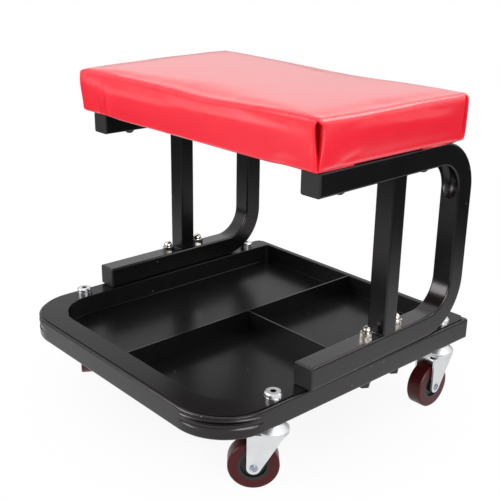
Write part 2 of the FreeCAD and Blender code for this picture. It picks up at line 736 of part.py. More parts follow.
def plug(label):
    """A plastic plug: a bevelled face plate and a hollow skirt in the tube."""
    body = new_body(label)
    wide = tube * half
    face = outline(new_sketch(body, "XZ"), rounded(-wide, -wide, wide, wide, tube_round))
    plate = pad(body, face, plug_rim)
    bevel = body.newObject("PartDesign::Chamfer", label + "_bevel")
    doc.recompute()
    near = plug_rim.value * slack_share
    outer = [i for i, edge in enumerate(plate.Shape.Edges)
             if abs(edge.BoundBox.YMin + plug_rim.value) < near
             and abs(edge.BoundBox.YMax + plug_rim.value) < near]
    bevel.Base = (plate, ["Edge%d" % (i + 1) for i in outer])
    bind(bevel, "Size", plug_bevel)
    inner = wide - tube_wall - press_gap
    skirt = outline(new_sketch(body, "XZ"), box_points(-inner, -inner, inner, inner))
    pad(body, skirt, plug_length, True)
    deep = inner - plug_wall
    hollow = outline(new_sketch(body, "XZ", -plug_length), box_points(-deep, -deep, deep, deep))
    pocket(body, hollow, plug_length, True)
    return kept(body, label)


def plugs():
    """Plugs in the front ends of the arms and in the rear ends of the base."""
    front = arm_front + plug_rim - post_middle
    for name, side in SIDES.items():
        set_in_frame(plug("end_cap_lower_" + name), name, deck + tube * half, front)
        set_in_frame(plug("end_cap_upper_" + name), name, arm_top - tube * half, front)
        place(plug("base_cap_" + name), side * rail_middle, rail_rear, base_bottom + tube * half, 180)


def frame_places():
    """Where the four frame bolts stand."""
    return [frame_spot(name, along * clamp_spacing) for name in SIDES for along in (-1, 1)]


def frame_fasteners():
    """Hexagon bolts from below with washers, and acorn nuts on the lower arms."""
    bolts = []
    washers = []
    nuts = []
    under = base_bottom - clamp_washer_sheet
    for x, y in frame_places():
        bolt = new_body("frame_bolt")
        place(bolt, x, y, under)
        pad(bolt, outline(new_sketch(bolt, "XY"), hexagon(clamp_flats)), clamp_head, True)
        length = deck + tube + clamp_stub - under
        pad(bolt, circle(new_sketch(bolt, "XY"), ZERO, ZERO, clamp_bolt * half), length)
        bolts.append(bolt)
        washer = new_body("frame_washer")
        place(washer, x, y, under)
        flat = circle(new_sketch(washer, "XY"), ZERO, ZERO, clamp_washer * half)
        circle(flat, ZERO, ZERO, clamp_bolt * half + press_gap)
        pad(washer, flat, clamp_washer_sheet)
        washers.append(washer)
        nuts.append(acorn_nut(x, y))
    group("frame_bolts", bolts)
    group("frame_washers", washers)
    group("acorn_nuts", nuts)


def acorn_nut(x, y):
    """A hexagon with a collar and a dome over the end of the bolt."""
    nut = new_body("acorn_nut")
    place(nut, x, y, deck + tube)
    pad(nut, outline(new_sketch(nut, "XY"), hexagon(clamp_flats)), clamp_nut)
    rise = clamp_nut + clamp_dome_rise
    spin(nut, outline(new_sketch(nut, "XZ"), [
        (ZERO, ZERO), (clamp_dome, ZERO), (clamp_dome, rise),
        (ZERO, rise + clamp_dome, ZERO, rise, 1)]))
    taper = clamp_flats / math.sqrt(3)
    shave = outline(new_sketch(nut, "XZ"), [
        (clamp_flats * half, clamp_nut),
        (taper + press_gap, clamp_nut - (taper - clamp_flats * half) * half),
        (taper + press_gap, clamp_nut)])
    spin(nut, shave, kind="Groove")
    thread = circle(new_sketch(nut, "XY"), ZERO, ZERO, clamp_bolt * half + press_gap)
    pocket(nut, thread, clamp_stub + press_gap, True)
    return nut


def caster_fasteners():
    """Socket-head bolts with spring washers on the flange, and nuts with washers inside the forks."""
    bolts = []
    springs = []
    washers = []
    nuts = []
    crown = cup_height + crown_gap + fork_sheet
    for side, y, _ in CORNERS.values():
        x = side * rail_middle
        top = deck + spring_washer_sheet
        under = base_bottom - crown - nut_gap - nut_washer_sheet - stem_nut_height - stem_tip
        bolt = new_body("caster_bolt")
        place(bolt, x, y, top)
        wide = stem_head * half
        spin(bolt, outline(new_sketch(bolt, "XZ"), [
            (ZERO, ZERO), (wide, ZERO), (wide, stem_head_height - stem_head_bevel),
            (wide - stem_head_bevel, stem_head_height), (ZERO, stem_head_height)]))
        shank = circle(new_sketch(bolt, "XY"), ZERO, ZERO, stem_bolt * half)
        pad(bolt, shank, top - under, True)
        key = outline(new_sketch(bolt, "XY", stem_head_height), hexagon(stem_socket))
        pocket(bolt, key, stem_socket_depth)
        bolts.append(bolt)
        spring = new_body("spring_washer")
        place(spring, x, y, deck)
        ring = circle(new_sketch(spring, "XY"), ZERO, ZERO, spring_washer * half)
        circle(ring, ZERO, ZERO, stem_bolt * half + press_gap)
        pad(spring, ring, spring_washer_sheet)
        slit = outline(new_sketch(spring, "XY"), box_points(
            ZERO, spring_washer_slit * -half, spring_washer, spring_washer_slit * half))
        pocket(spring, slit, spring_washer_sheet, True)
        springs.append(spring)
        washer = new_body("caster_washer")
        place(washer, x, y, base_bottom - crown - nut_gap - nut_washer_sheet)
        ring = circle(new_sketch(washer, "XY"), ZERO, ZERO, nut_washer * half)
        circle(ring, ZERO, ZERO, stem_bolt * half + press_gap)
        pad(washer, ring, nut_washer_sheet)
        washers.append(washer)
        nut = new_body("caster_nut")
        place(nut, x, y, under + stem_tip)
        ring = outline(new_sketch(nut, "XY"), hexagon(stem_nut))
        circle(ring, ZERO, ZERO, stem_bolt * half + press_gap)
        pad(nut, ring, stem_nut_height)
        nuts.append(nut)
    group("caster_bolts", bolts)
    group("caster_spring_washers", springs)
    group("caster_washers", washers)
    group("caster_nuts", nuts)


def raceway_cup(corner):
    """The pressed cup under the base that the balls run in."""
    side, y, _ = CORNERS[corner]
    label = "caster_cup_" + corner
    shoulder = cup_height - cup_skirt
    inner = cup_radius - cup_sheet
    body = turned(label, [
        (stem_bolt * half + press_gap, ZERO), (stem_bolt * half + press_gap, -cup_sheet),
        (cup_top - cup_sheet * half, -cup_sheet), (inner, -shoulder), (inner, -cup_height),
        (cup_radius, -cup_height), (cup_radius, -shoulder), (cup_top, ZERO)])
    place(body, side * rail_middle, y, base_bottom)
    return kept(body, label)


def set_in_caster(body, corner):
    """Put a piece, modelled about the swivel axis with +X trailing, at its corner."""
    side, y, angle = CORNERS[corner]
    place(body, side * rail_middle, y, base_bottom, angle)


def fork(corner):
    """The caster's fork: a round crown with two sides bent down to the axle."""
    label = "fork_" + corner
    body = new_body(label)
    top = cup_height + crown_gap
    crown = circle(new_sketch(body, "XY", -top - fork_sheet), ZERO, ZERO, cup_radius)
    pad(body, crown, fork_sheet)
    for side in (-1, 1):
        shave = new_sketch(body, "XY", -top - fork_sheet)
        outline(shave, box_points(cup_radius * -2, fork_half, cup_radius * 2, cup_radius * 2)
                if side > 0 else
                box_points(cup_radius * -2, cup_radius * -2, cup_radius * 2, -fork_half))
        pocket(body, shave, fork_sheet, True)
    for side in (-1, 1):
        cheek(body, side, top)
    hole = circle(new_sketch(body, "XY", -top), ZERO, ZERO, stem_bolt * half + swivel_gap)
    pocket(body, hole, fork_sheet)
    track = circle(new_sketch(body, "XZ"), ball_ring, -ball_level, ball_radius + press_gap)
    spin(body, track, kind="Groove")
    through = circle(new_sketch(body, "XZ"), fork_trail, -axle_drop, axle * half + axle_gap)
    pocket(body, through, fork_half * 2 + overrun, middle=True)
    for side in (-1, 1):
        sink = new_sketch(body, "XZ", side * fork_half)
        circle(sink, fork_trail, -axle_drop, dimple * half)
        pocket(body, sink, dimple_depth, side < 0)
    set_in_caster(body, corner)
    return kept(body, label)


def cheek(body, side, top):
    """One side of a fork: upright behind, slanting in front, round at the axle."""
    front = root(cup_radius * cup_radius - fork_half * fork_half)
    rear = fork_trail + fork_foot
    run = fork_trail + front
    fall = axle_drop - fork_brow
    reach = root(run * run + fall * fall)
    tilt = fork_foot / reach
    level = root(ZERO + 1 - tilt * tilt)
    touch_x = fork_trail - fork_foot * (run * tilt + fall * level) / reach
    touch_z = -axle_drop - fork_foot * (run * level - fall * tilt) / reach
    sketch = new_sketch(body, "XZ", side * (fork_half - fork_sheet * half))
    outline(sketch, [
        (-front, -top), (-front, -fork_brow), (touch_x, touch_z),
        (rear, -axle_drop, fork_trail, -axle_drop, 1), (rear, -top)])
    return pad(body, sketch, fork_sheet, middle=True)


def ball_set(corner):
    """The ring of balls between a cup and its fork."""
    side, y, _ = CORNERS[corner]
    balls = []
    for index in range(ball_count):
        angle = 2 * math.pi * index / ball_count
        ball = doc.addObject("Part::Sphere", "ball_" + corner)
        bind(ball, "Radius", ball_radius)
        place(ball, side * rail_middle + ball_ring * math.cos(angle),
              y + ball_ring * math.sin(angle), base_bottom - ball_level)
        balls.append(ball)
    return group("balls_" + corner, balls)


def axle_point(corner):
    """The middle of a caster's axle."""
    side, y, angle = CORNERS[corner]
    turn = math.radians(angle)
    return (side * rail_middle + fork_trail * math.cos(turn), y + fork_trail * math.sin(turn))


def about_axle(label, corner, points):
    """A piece turned about the axle of a caster from a half section of x, z points."""
    body = turned(label, points)
    angle = CORNERS[corner][2]
    x, y = axle_point(corner)
    turn = Rotation(Vector(0, 0, 1), float(angle)) * Rotation(Vector(1, 0, 0), -90.0)
    body.Placement = FreeCAD.Placement(Vector(0, 0, 0), turn)
    for letter, item in (("x", x), ("y", y), ("z", base_bottom - axle_drop)):
        bind(body, "Placement.Base." + letter, item)
    return kept(body, label)


def wheel_pieces(corner):
    """The axle with its rivet heads, the bush on it, the wheel's core and its tread."""
    seat = fork_half - dimple_depth
    bush_bore = (axle + press_gap) * half
    head = axle_head * half
    about_axle("axle_" + corner, corner, [
        (ZERO, -seat - axle_head_rise), (head * half, -seat - axle_head_rise),
        (head, -seat - axle_head_rise * half), (head, -seat), (axle * half, -seat), (axle * half, seat),
        (head, seat), (head, seat + axle_head_rise * half), (head * half, seat + axle_head_rise),
        (ZERO, seat + axle_head_rise)])
    inner = fork_half - fork_sheet
    bush_end = inner - press_gap
    about_axle("bush_" + corner, corner, [
        (bush_bore, -bush_end), (bush * half, -bush_end), (bush * half, bush_end),
        (bush_bore, bush_end)])
    hub_end = inner - hub_gap
    face = tread_width * half
    dished = face - core_dish
    bore = bush * half + bush_gap
    about_axle("wheel_core_" + corner, corner, [
        (bore, -hub_end), (hub_radius, -hub_end), (hub_radius, -dished), (core_ring, -dished),
        (core_ring, -face), (core_radius, -face), (core_radius, face), (core_ring, face),
        (core_ring, dished), (hub_radius, dished), (hub_radius, hub_end), (bore, hub_end)])
    about_axle("wheel_tread_" + corner, corner, [
        (core_radius, -face), (wheel_radius - tread_bevel, -face), (wheel_radius, tread_bevel - face),
        (wheel_radius, face - tread_bevel), (wheel_radius - tread_bevel, face), (core_radius, face)])


def cushion_section(body, level, inset, corner):
    """One level outline of the cushion, drawn in by inset."""
    x = seat_width * half - inset
    y = seat_depth * half - inset
    return outline(new_sketch(body, "XY", level), rounded(-x, -y, x, y, corner))


def cushion_form(body, within, bottom, kind="Additive"):
    """The cushion's form, let in by within: drawn-in sides, rolled edges and a crowned top."""
    top = seat_height - within
    roll = seat_roll - within
    slim = root_half
    steps = [
        (bottom, seat_draw),
        (seat_height * low_share, seat_draw * low_draw_share),
        (seat_height * widest_share, ZERO),
        (top - roll, top_draw),
        (top - roll * (1 - slim), top_draw + roll * (1 - slim)),
        (top, roll + top_draw),
    ]
    sections = []
    for level, inset in steps:
        sections.append(cushion_section(body, level, inset + within, seat_corner))
    loft = body.newObject("PartDesign::%sLoft" % kind, body.Name + "_form")
    loft.Profile = sections[0]
    loft.Sections = sections[1:]
    loft.Ruled = False
    return loft


def crown(body, within, kind="Additive"):
    """The low rise over the cushion's flat top."""
    top = seat_height - within
    edge = seat_roll + top_draw
    steps = [(top, edge), (top + seat_crown * crown_rise_share, edge + seat_depth * crown_start_share),
             (top + seat_crown, edge + seat_depth * crown_end_share)]
    sections = [cushion_section(body, level, inset, seat_corner) for level, inset in steps]
    loft = body.newObject("PartDesign::%sLoft" % kind, body.Name + "_crown")
    loft.Profile = sections[0]
    loft.Sections = sections[1:]
    loft.Ruled = False
    return loft


def screw_places():
    """Where the four seat screws stand."""
    return [frame_spot(name, along) for name in SIDES for along in SEAT_SCREW_ALONG]


def seat_cover():
    """The vinyl: a crowned skin with its hem folded under the board and thick corner folds."""
    body = new_body("seat_cover")
    place(body, ZERO, seat_middle, seat_bottom)
    cushion_form(body, ZERO, ZERO)
    crown(body, ZERO)
    cushion_form(body, vinyl, vinyl, "Subtractive")
    crown(body, vinyl, "Subtractive")
    x = seat_width * half - seat_draw - hem_width
    y = seat_depth * half - seat_draw - hem_width
    opening = outline(new_sketch(body, "XY"), box_points(-x, -y, x, y))
    pocket(body, opening, vinyl + overrun, True)
    bores = new_sketch(body, "XY")
    for px, py in screw_places():
        circle(bores, px, py - seat_middle, seat_screw * half + press_gap)
    pocket(body, bores, vinyl, True)
    far_x = seat_width * half - seat_draw
    far_y = seat_depth * half - seat_draw
    for sx in (-1, 1):
        for sy in (-1, 1):
            fold = outline(new_sketch(body, "XY"), [
                (sx * (far_x - seat_corner), sy * far_y), (sx * (far_x - fold_width), sy * far_y),
                (sx * (far_x - hem_width), sy * (far_y - hem_width)),
                (sx * far_x, sy * (far_y - fold_width)), (sx * far_x, sy * (far_y - seat_corner))])
            pad(body, fold, fold_rise, True)
    return kept(body, "seat_cover")


def seat_foam():
    """The foam block inside the vinyl, on the board."""
    body = new_body("seat_foam")
    place(body, ZERO, seat_middle, seat_bottom)
    within = vinyl + foam_gap
    cushion_form(body, within, vinyl + board_sheet)
    crown(body, within)
    return kept(body, "seat_foam")


def seat_board():
    """The plywood board that carries the foam, bored for the threaded inserts."""
    body = new_body("seat_board")
    place(body, ZERO, seat_middle, board_bottom)
    x = seat_width * half - board_inset
    y = seat_depth * half - board_inset
    pad(body, outline(new_sketch(body, "XY"), rounded(-x, -y, x, y, seat_corner)), board_sheet)
    bores = new_sketch(body, "XY", board_sheet)
    sinks = new_sketch(body, "XY", board_sheet)
    for px, py in screw_places():
        circle(bores, px, py - seat_middle, insert_barrel * half + press_gap)
        circle(sinks, px, py - seat_middle, insert_flange * half + press_gap)
    pocket(body, bores, board_sheet)
    pocket(body, sinks, insert_sheet)
    return kept(body, "seat_board")


def seat_fasteners():
    """Screws up through the arms, their washers, and the inserts in the board."""
    screws = []
    washers = []
    inserts = []
    under = arm_top - tube - screw_washer_sheet
    for x, y in screw_places():
        screw = new_body("seat_screw")
        place(screw, x, y, under)
        wide = seat_screw_head * half
        shank = seat_screw * half
        length = board_top - insert_sheet - under
        spin(screw, outline(new_sketch(screw, "XZ"), [
            (ZERO, -seat_screw_rise), (wide * pan_head_share, -seat_screw_rise),
            (wide, seat_screw_rise * -pan_edge_share),
            (wide, ZERO), (shank, ZERO), (shank, length), (ZERO, length)]))
        screws.append(screw)
        washer = new_body("seat_washer")
        place(washer, x, y, under)
        ring = circle(new_sketch(washer, "XY"), ZERO, ZERO, screw_washer * half)
        circle(ring, ZERO, ZERO, seat_screw * half + press_gap)
        pad(washer, ring, screw_washer_sheet)
        washers.append(washer)
        insert = turned("seat_insert", [
            (shank + press_gap * half, -board_sheet), (insert_barrel * half, -board_sheet),
            (insert_barrel * half, -insert_sheet), (insert_flange * half, -insert_sheet),
            (insert_flange * half, ZERO), (shank + press_gap * half, ZERO)])
        place(insert, x, y, board_top)
        inserts.append(insert)
    group("seat_screws", screws)
    group("seat_washers", washers)
    group("seat_inserts", inserts)


def staple_places():
    """Where the staples sit round the hem, and which way each is turned."""
    spots = []
    for width, depth, turn in ((seat_width, seat_depth, 0), (seat_depth, seat_width, 90)):
        line = depth * half - staple_edge
        count = int(((width - fold_width * 2) / staple_pitch).value) + 1
        for index in range(count):
            along = staple_pitch * (index - (count - 1) / 2)
            for way in (-1, 1):
                spots.append((along, way * line, turn) if turn == 0 else (way * line, along, turn))
    return spots


def seat_staples():
    """Wire staples that hold the hem to the board."""
    staples = []
    for x, y, turn in staple_places():
        body = new_body("staple")
        wide = staple_width * half
        inner = wide - staple_wire
        sketch = outline(new_sketch(body, "XZ"), [
            (-wide, -staple_wire), (wide, -staple_wire), (wide, staple_leg), (inner, staple_leg),
            (inner, ZERO), (-inner, ZERO), (-inner, staple_leg), (-wide, staple_leg)])
        pad(body, sketch, staple_wire, middle=True)
        place(body, x, seat_middle + y, seat_bottom, turn)
        staples.append(body)
    return group("seat_staples", staples)


def build():
    base_tube()
    tray_pan()
    dividers()
    for name in SIDES:
        side_tube(name)
        post(name)
    weld_beads()
    plugs()
    frame_fasteners()
    caster_fasteners()
    for corner in CORNERS:
        raceway_cup(corner)
        fork(corner)
        ball_set(corner)
        wheel_pieces(corner)
    seat_cover()
    seat_foam()
    seat_board()
    seat_fasteners()
    seat_staples()


def check_and_write():
    """Stop on any failed object, then write each piece to its own file."""
    doc.recompute()
    for thing in doc.Objects:
        if "Invalid" in thing.State or "Error" in thing.State:
            raise RuntimeError("%s (%s) failed: %s" % (thing.Name, thing.Label, thing.State))
    os.makedirs("parts", exist_ok=True)
    for node in nodes:
        if node.Shape.isNull() or not node.Shape.isValid() or not node.Shape.Solids:
            raise RuntimeError("%s has no valid solid" % node.Label)
    for node in nodes:
        node.Shape.exportStep("parts/%s.step" % node.Label)
    box = Part.makeCompound([node.Shape for node in nodes]).BoundBox
    print("%d nodes, box x %.2f to %.2f, y %.2f to %.2f, z %.2f to %.2f" % (
        len(nodes), box.XMin, box.XMax, box.YMin, box.YMax, box.ZMin, box.ZMax))


build()
check_and_write()
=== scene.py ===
import math

import bmesh
import bpy
from bpy.props import (FloatProperty, FloatVectorProperty, IntProperty,
                       PointerProperty)
from mathutils import Matrix, Vector, noise
from mathutils.bvhtree import BVHTree
from mathutils.interpolate import poly_3d_calc


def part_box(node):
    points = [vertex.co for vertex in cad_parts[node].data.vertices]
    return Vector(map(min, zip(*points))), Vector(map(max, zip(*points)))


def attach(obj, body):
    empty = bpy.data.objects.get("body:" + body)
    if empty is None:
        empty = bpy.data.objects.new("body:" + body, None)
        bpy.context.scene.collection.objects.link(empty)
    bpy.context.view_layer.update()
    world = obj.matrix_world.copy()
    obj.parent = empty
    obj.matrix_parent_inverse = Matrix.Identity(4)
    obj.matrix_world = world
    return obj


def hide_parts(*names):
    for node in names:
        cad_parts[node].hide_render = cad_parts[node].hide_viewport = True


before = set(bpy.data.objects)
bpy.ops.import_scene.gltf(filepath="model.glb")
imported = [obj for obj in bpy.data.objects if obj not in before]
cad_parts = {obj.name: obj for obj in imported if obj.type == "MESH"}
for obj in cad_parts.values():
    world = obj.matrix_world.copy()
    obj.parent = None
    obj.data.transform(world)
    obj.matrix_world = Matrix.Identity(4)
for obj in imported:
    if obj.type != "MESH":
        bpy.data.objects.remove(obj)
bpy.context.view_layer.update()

bl_info = {
    "name": "Creeper seat looks",
    "version": (1, 0, 0),
    "blender": (4, 5, 0),
    "location": "View3D > Sidebar > Creeper seat",
    "description": "Cushion, finishes and studio for the creeper seat round its CAD frame",
    "category": "Object",
}

COVER_LOW, COVER_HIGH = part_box("seat_cover")
ARM_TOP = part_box("side_tube_left")[1].z
CUSHION_BASE = ARM_TOP + 0.0008  # the level of the cushion's lower edge

PAINTED = ("base_tube", "side_tube_left", "side_tube_right", "post_left", "post_right",
           "weld_beads", "tray_divider_long", "tray_divider_cross")
BRIGHT = ("caster_bolts", "caster_spring_washers", "caster_washers", "caster_nuts",
          "seat_inserts", "seat_staples")
BLACKENED = ("frame_bolts", "frame_washers", "seat_screws", "seat_washers")
CORNERS = ("front_left", "front_right", "rear_left", "rear_right")


# Sizes and colours

def length_value(name, description, default):
    """A length in metres that a user may change."""
    return FloatProperty(name=name, description=description, default=default, unit="LENGTH")


def angle_value(name, description, degrees):
    """An angle that a user may change."""
    return FloatProperty(name=name, description=description, default=math.radians(degrees),
                         subtype="ANGLE")


def strength_value(name, description, default):
    """A strength of nothing or more that a user may change."""
    return FloatProperty(name=name, description=description, default=default, min=0.0)


def colour_value(name, description, default):
    """A colour that a user may change."""
    return FloatVectorProperty(name=name, description=description, subtype="COLOR", size=3,
                               default=default, min=0.0, max=1.0)


class CushionSizes(bpy.types.PropertyGroup):
    """Sizes of the padded seat"""
    edge_level: length_value(
        "Edge level", "Height of the top edge over the cushion's lower edge", 0.0502)
    crown: length_value("Crown", "Rise of the middle over the edge", 0.0012)
    rear_rise: length_value(
        "Rear rise", "How much higher the rear edge stands than the front", 0.0014)
    left_rise: length_value(
        "Left rise", "How much more the rear left corner is raised", 0.0046)
    roll: length_value("Edge roll", "Radius of the top edge on the long sides", 0.0030)
    end_roll: length_value("End roll", "Radius of the top edge at the ends", 0.0068)
    low_roll: length_value("Low roll", "Radius of the lower edge on the long sides", 0.0028)
    low_end_roll: length_value("Low end roll", "Radius of the lower edge at the ends", 0.0058)
    sag: length_value("Sag", "How far the hem hangs between the arms", 0.0014)
    corner: length_value("Corner", "Radius of the upright corners", 0.003)
    draw: length_value("Draw", "How far the ends draw in at the lower edge", 0.0024)
    tuck: length_value("Tuck", "How far the near right corner draws in towards its top", 0.0024)
    vinyl: length_value("Vinyl", "Thickness of the vinyl", 0.0012)
    hem: length_value("Hem", "Width of the hem under the board", 0.026)
    fold: length_value("Corner fold", "Length of the thick folds under the corners", 0.046)
    pleat: length_value("Pleat depth", "Depth of the upright pleat at each corner", 0.0052)
    slit: length_value("Slit depth", "Depth of the open fold at the near right corner", 0.0160)
    bulge: length_value("Bulge", "How far the ends stand out below the top edge", 0.0010)
    ear: length_value("Ear", "How far the front left corner is puffed out", 0.0060)
    swell: length_value("Swell", "Most that the foam may push the vinyl out", 0.0016)
    pressure: strength_value("Pressure", "Pressure of the foam on the vinyl", 4.0)
    frames: IntProperty(
        name="Frames", description="Frames that the swelling runs for", default=20, min=1)


class FinishColours(bpy.types.PropertyGroup):
    """Colours of the finishes"""
    paint: colour_value(
        "Frame paint", "Satin black of tube and tray", (0.0038, 0.0037, 0.0040))
    vinyl: colour_value("Vinyl", "Red of the seat", (0.92, 0.014, 0.036))
    tread: colour_value("Tread", "Maroon of the wheels", (0.054, 0.0045, 0.0052))
    core: colour_value("Wheel core", "Dark grey of the wheel cores", (0.011, 0.011, 0.012))
    plastic: colour_value("Plastic", "Black of the plugs", (0.010, 0.010, 0.011))
    zinc: colour_value("Zinc", "Bright zinc of forks and cups", (0.70, 0.71, 0.72))
    bright: colour_value("Bolts", "Zinc of the caster bolts", (0.68, 0.69, 0.71))
    nickel: colour_value("Nickel", "Warm nickel of the acorn nuts", (0.66, 0.62, 0.56))
    oxide: colour_value("Black oxide", "Black of the frame bolts", (0.035, 0.035, 0.037))
    steel: colour_value("Steel", "Plain steel of balls and bushes", (0.62, 0.63, 0.65))
    axle: colour_value("Axles", "Blued steel of the axles", (0.30, 0.35, 0.42))
    ply: colour_value("Plywood", "Wood of the seat's board", (0.52, 0.34, 0.18))


class StudioSizes(bpy.types.PropertyGroup):
    """Camera, floor and light"""
    place: FloatVectorProperty(
        name="Camera", description="Where the camera stands", subtype="TRANSLATION",
        size=3, default=(0.71475, -0.6350, 0.5236))
    turn: angle_value("Turn", "Angle of the view round the seat", 47.94)
    tilt: angle_value("Tilt", "Angle that the camera looks down", 19.82)
    roll: angle_value("Roll", "Roll of the camera", 0.89)
    lens: FloatProperty(
        name="Lens", description="Focal length in millimetres", default=62.25, min=1.0)
    floor: colour_value("Floor", "Colour of the floor", (0.80, 0.80, 0.80))
    clear: FloatProperty(
        name="Clear", description="How far the floor's white shows through the shadow",
        default=0.88, min=0.0, max=1.0)
    sky: strength_value("Room light", "Strength of the even light of the room", 0.30)
    key: strength_value("Key light", "Power of the soft box at the front left", 38.0)
    side: strength_value("Side light", "Power of the soft box at the right", 28.0)
    top: strength_value("Top light", "Power of the soft box overhead", 6.0)
    rear: strength_value("Rear light", "Power of the soft box high behind at the right", 9.0)


# Shader maths

class Wire:
    """A value socket that can be used in Python expressions."""

    def __init__(self, tree, socket):
        self.tree = tree
        self.socket = socket

    def maths(self, operation, *values):
        """Add a Math node that works on these values."""
        part = self.tree.nodes.new("ShaderNodeMath")
        part.operation = operation
        for number, value in enumerate(values):
            feed(self.tree, part.inputs[number], value)
        return Wire(self.tree, part.outputs[0])

    def __add__(self, other):
        return self.maths("ADD", self, other)

    def __radd__(self, other):
        return self.maths("ADD", other, self)

    def __sub__(self, other):
        return self.maths("SUBTRACT", self, other)

    def __rsub__(self, other):
        return self.maths("SUBTRACT", other, self)

    def __mul__(self, other):
        return self.maths("MULTIPLY", self, other)

    def __rmul__(self, other):
        return self.maths("MULTIPLY", other, self)

    def __pow__(self, other):
        return self.maths("POWER", self, other)

    def over(self, level):
        return self.maths("GREATER_THAN", self, level)

    def under(self, level):
        return self.maths("LESS_THAN", self, level)

    def largest(self, other):
        return self.maths("MAXIMUM", self, other)

    def smallest(self, other):
        return self.maths("MINIMUM", self, other)

    def absolute(self):
        return self.maths("ABSOLUTE", self)


def feed(tree, socket, value):
    """Put a number, a colour or another socket into a socket."""
    if isinstance(value, Wire):
        tree.links.new(value.socket, socket)
    else:
        socket.default_value = value


class NodeTree:
    """A node tree, and short ways to add nodes to it."""

    def __init__(self, tree):
        self.tree = tree

    def node(self, kind, settings, inputs, output=0):
        """Add a node with its settings, then feed its sockets, and give one output."""
        part = self.tree.nodes.new(kind)
        for name, value in settings.items():
            setattr(part, name, value)
        for name, value in inputs.items():
            feed(self.tree, part.inputs[name], value)
        return Wire(self.tree, part.outputs[output])

    def outputs(self, kind, inputs, *names):
        """Add a node and give several of its outputs."""
        part = self.node(kind, {}, inputs).socket.node
        return [Wire(self.tree, part.outputs[name]) for name in names]

    def axes(self, vector):
        """The X, Y and Z of a vector."""
        return self.outputs("ShaderNodeSeparateXYZ", {"Vector": vector}, "X", "Y", "Z")

    def rays(self):
        """1 for what the camera sees, and 1 for what shows in gloss or through clear things."""
        camera, glossy, through = self.outputs(
            "ShaderNodeLightPath", {}, "Is Camera Ray", "Is Glossy Ray", "Is Transmission Ray")
        return camera, glossy.largest(through)

    def between(self, value, low, high, first=0.0, last=1.0):
        """first where the value is low, last where it is high, and smooth between."""
        return self.node("ShaderNodeMapRange", {"interpolation_type": "SMOOTHSTEP"}, {
            "Value": value, "From Min": low, "From Max": high,
            "To Min": first, "To Max": last}, "Result")

    def mixed(self, factor, first, second):
        """A colour between two colours. The Mix node's colour sockets go by number, because
        those for plain numbers have the same names."""
        return self.node("ShaderNodeMix", {"data_type": "RGBA"}, {
            0: factor, 6: first, 7: second}, 2)


class Finish(NodeTree):
    """A material with one Principled shader, and the patterns that dress it."""

    def __init__(self, name):
        self.material = bpy.data.materials.new(name)
        self.material.use_nodes = True
        super().__init__(self.material.node_tree)
        self.shader = self.tree.nodes["Principled BSDF"]
        self.place = self.node("ShaderNodeTexCoord", {}, {}, "Object")

    def speckle(self, scale, detail=2.0, roughness=0.5, where=None, output="Fac"):
        """Even noise about 0.5."""
        return self.node("ShaderNodeTexNoise", {}, {
            "Vector": where or self.place, "Scale": scale, "Detail": detail,
            "Roughness": roughness}, output)

    def cells(self, scale, feature="F1", where=None):
        """Distance pattern of scattered points."""
        return self.node("ShaderNodeTexVoronoi", {"feature": feature}, {
            "Vector": where or self.place, "Scale": scale}, "Distance")

    def stretched(self, scale):
        """The object's coordinates, stretched along its axes."""
        return self.node("ShaderNodeMapping", {}, {
            "Vector": self.place, "Scale": scale}, "Vector")

    def bump(self, height, distance, strength=1.0, under=None):
        """A bump from a height, on top of another bump."""
        inputs = {"Height": height, "Distance": distance, "Strength": strength}
        if under is not None:
            inputs["Normal"] = under
        return self.node("ShaderNodeBump", {}, inputs, "Normal")

    def dress(self, **values):
        """Set or link the shader's own sockets, whose names have underscores for spaces."""
        for name, value in values.items():
            feed(self.tree, self.shader.inputs[name.replace("_", " ")], value)
        return self.material


def opaque(colour, factor=1.0):
    """A colour with full alpha, lighter or darker by a factor."""
    return tuple(min(1.0, part * factor) for part in colour) + (1.0,)


# Finishes

def paint_finish(name, colour, wave, coat, shine):
    """Satin black powder coat: orange peel, a few light specks, and a slow wave of the sheet."""
    finish = Finish(name)
    peel = finish.speckle(scale=620.0)
    slow = finish.speckle(scale=9.0, detail=1.0)
    tone = finish.speckle(scale=38.0, detail=3.0)
    dusty = finish.speckle(scale=23.0, detail=1.0).over(0.56)
    specks = finish.cells(scale=85.0).under(0.055) * dusty
    speck_colour = opaque((0.20, 0.19, 0.18))
    toned = finish.mixed(tone, opaque(colour, 0.8), opaque(colour, 1.25))
    return finish.dress(
        Base_Color=finish.mixed(specks, toned, speck_colour),
        Roughness=0.22 + tone * 0.06,
        Specular_IOR_Level=shine,
        Specular_Tint=(1.0, 0.90, 0.96, 1.0),
        Coat_Weight=coat,
        Coat_Roughness=0.22,
        Coat_IOR=1.5,
        Normal=finish.bump(peel, distance=0.000016, under=finish.bump(slow, wave)))


def socket_mask(finish):
    """1 inside the hexagon sockets in the heads of the caster bolts, where shade is painted."""
    socket_radius, rim = 0.0035, 0.0005
    x, y, z = finish.axes(finish.place)
    front, rear = ((low + high) / 2 for low, high in (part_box("caster_cup_front_right"),
                                                      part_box("caster_cup_rear_right")))
    across = x.absolute() - front.x
    along = (y - front.y).absolute().smallest((y - rear.y).absolute())
    head_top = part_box("caster_bolts")[1].z
    return (across * across + along * along).under(socket_radius ** 2) * z.under(head_top - rim)


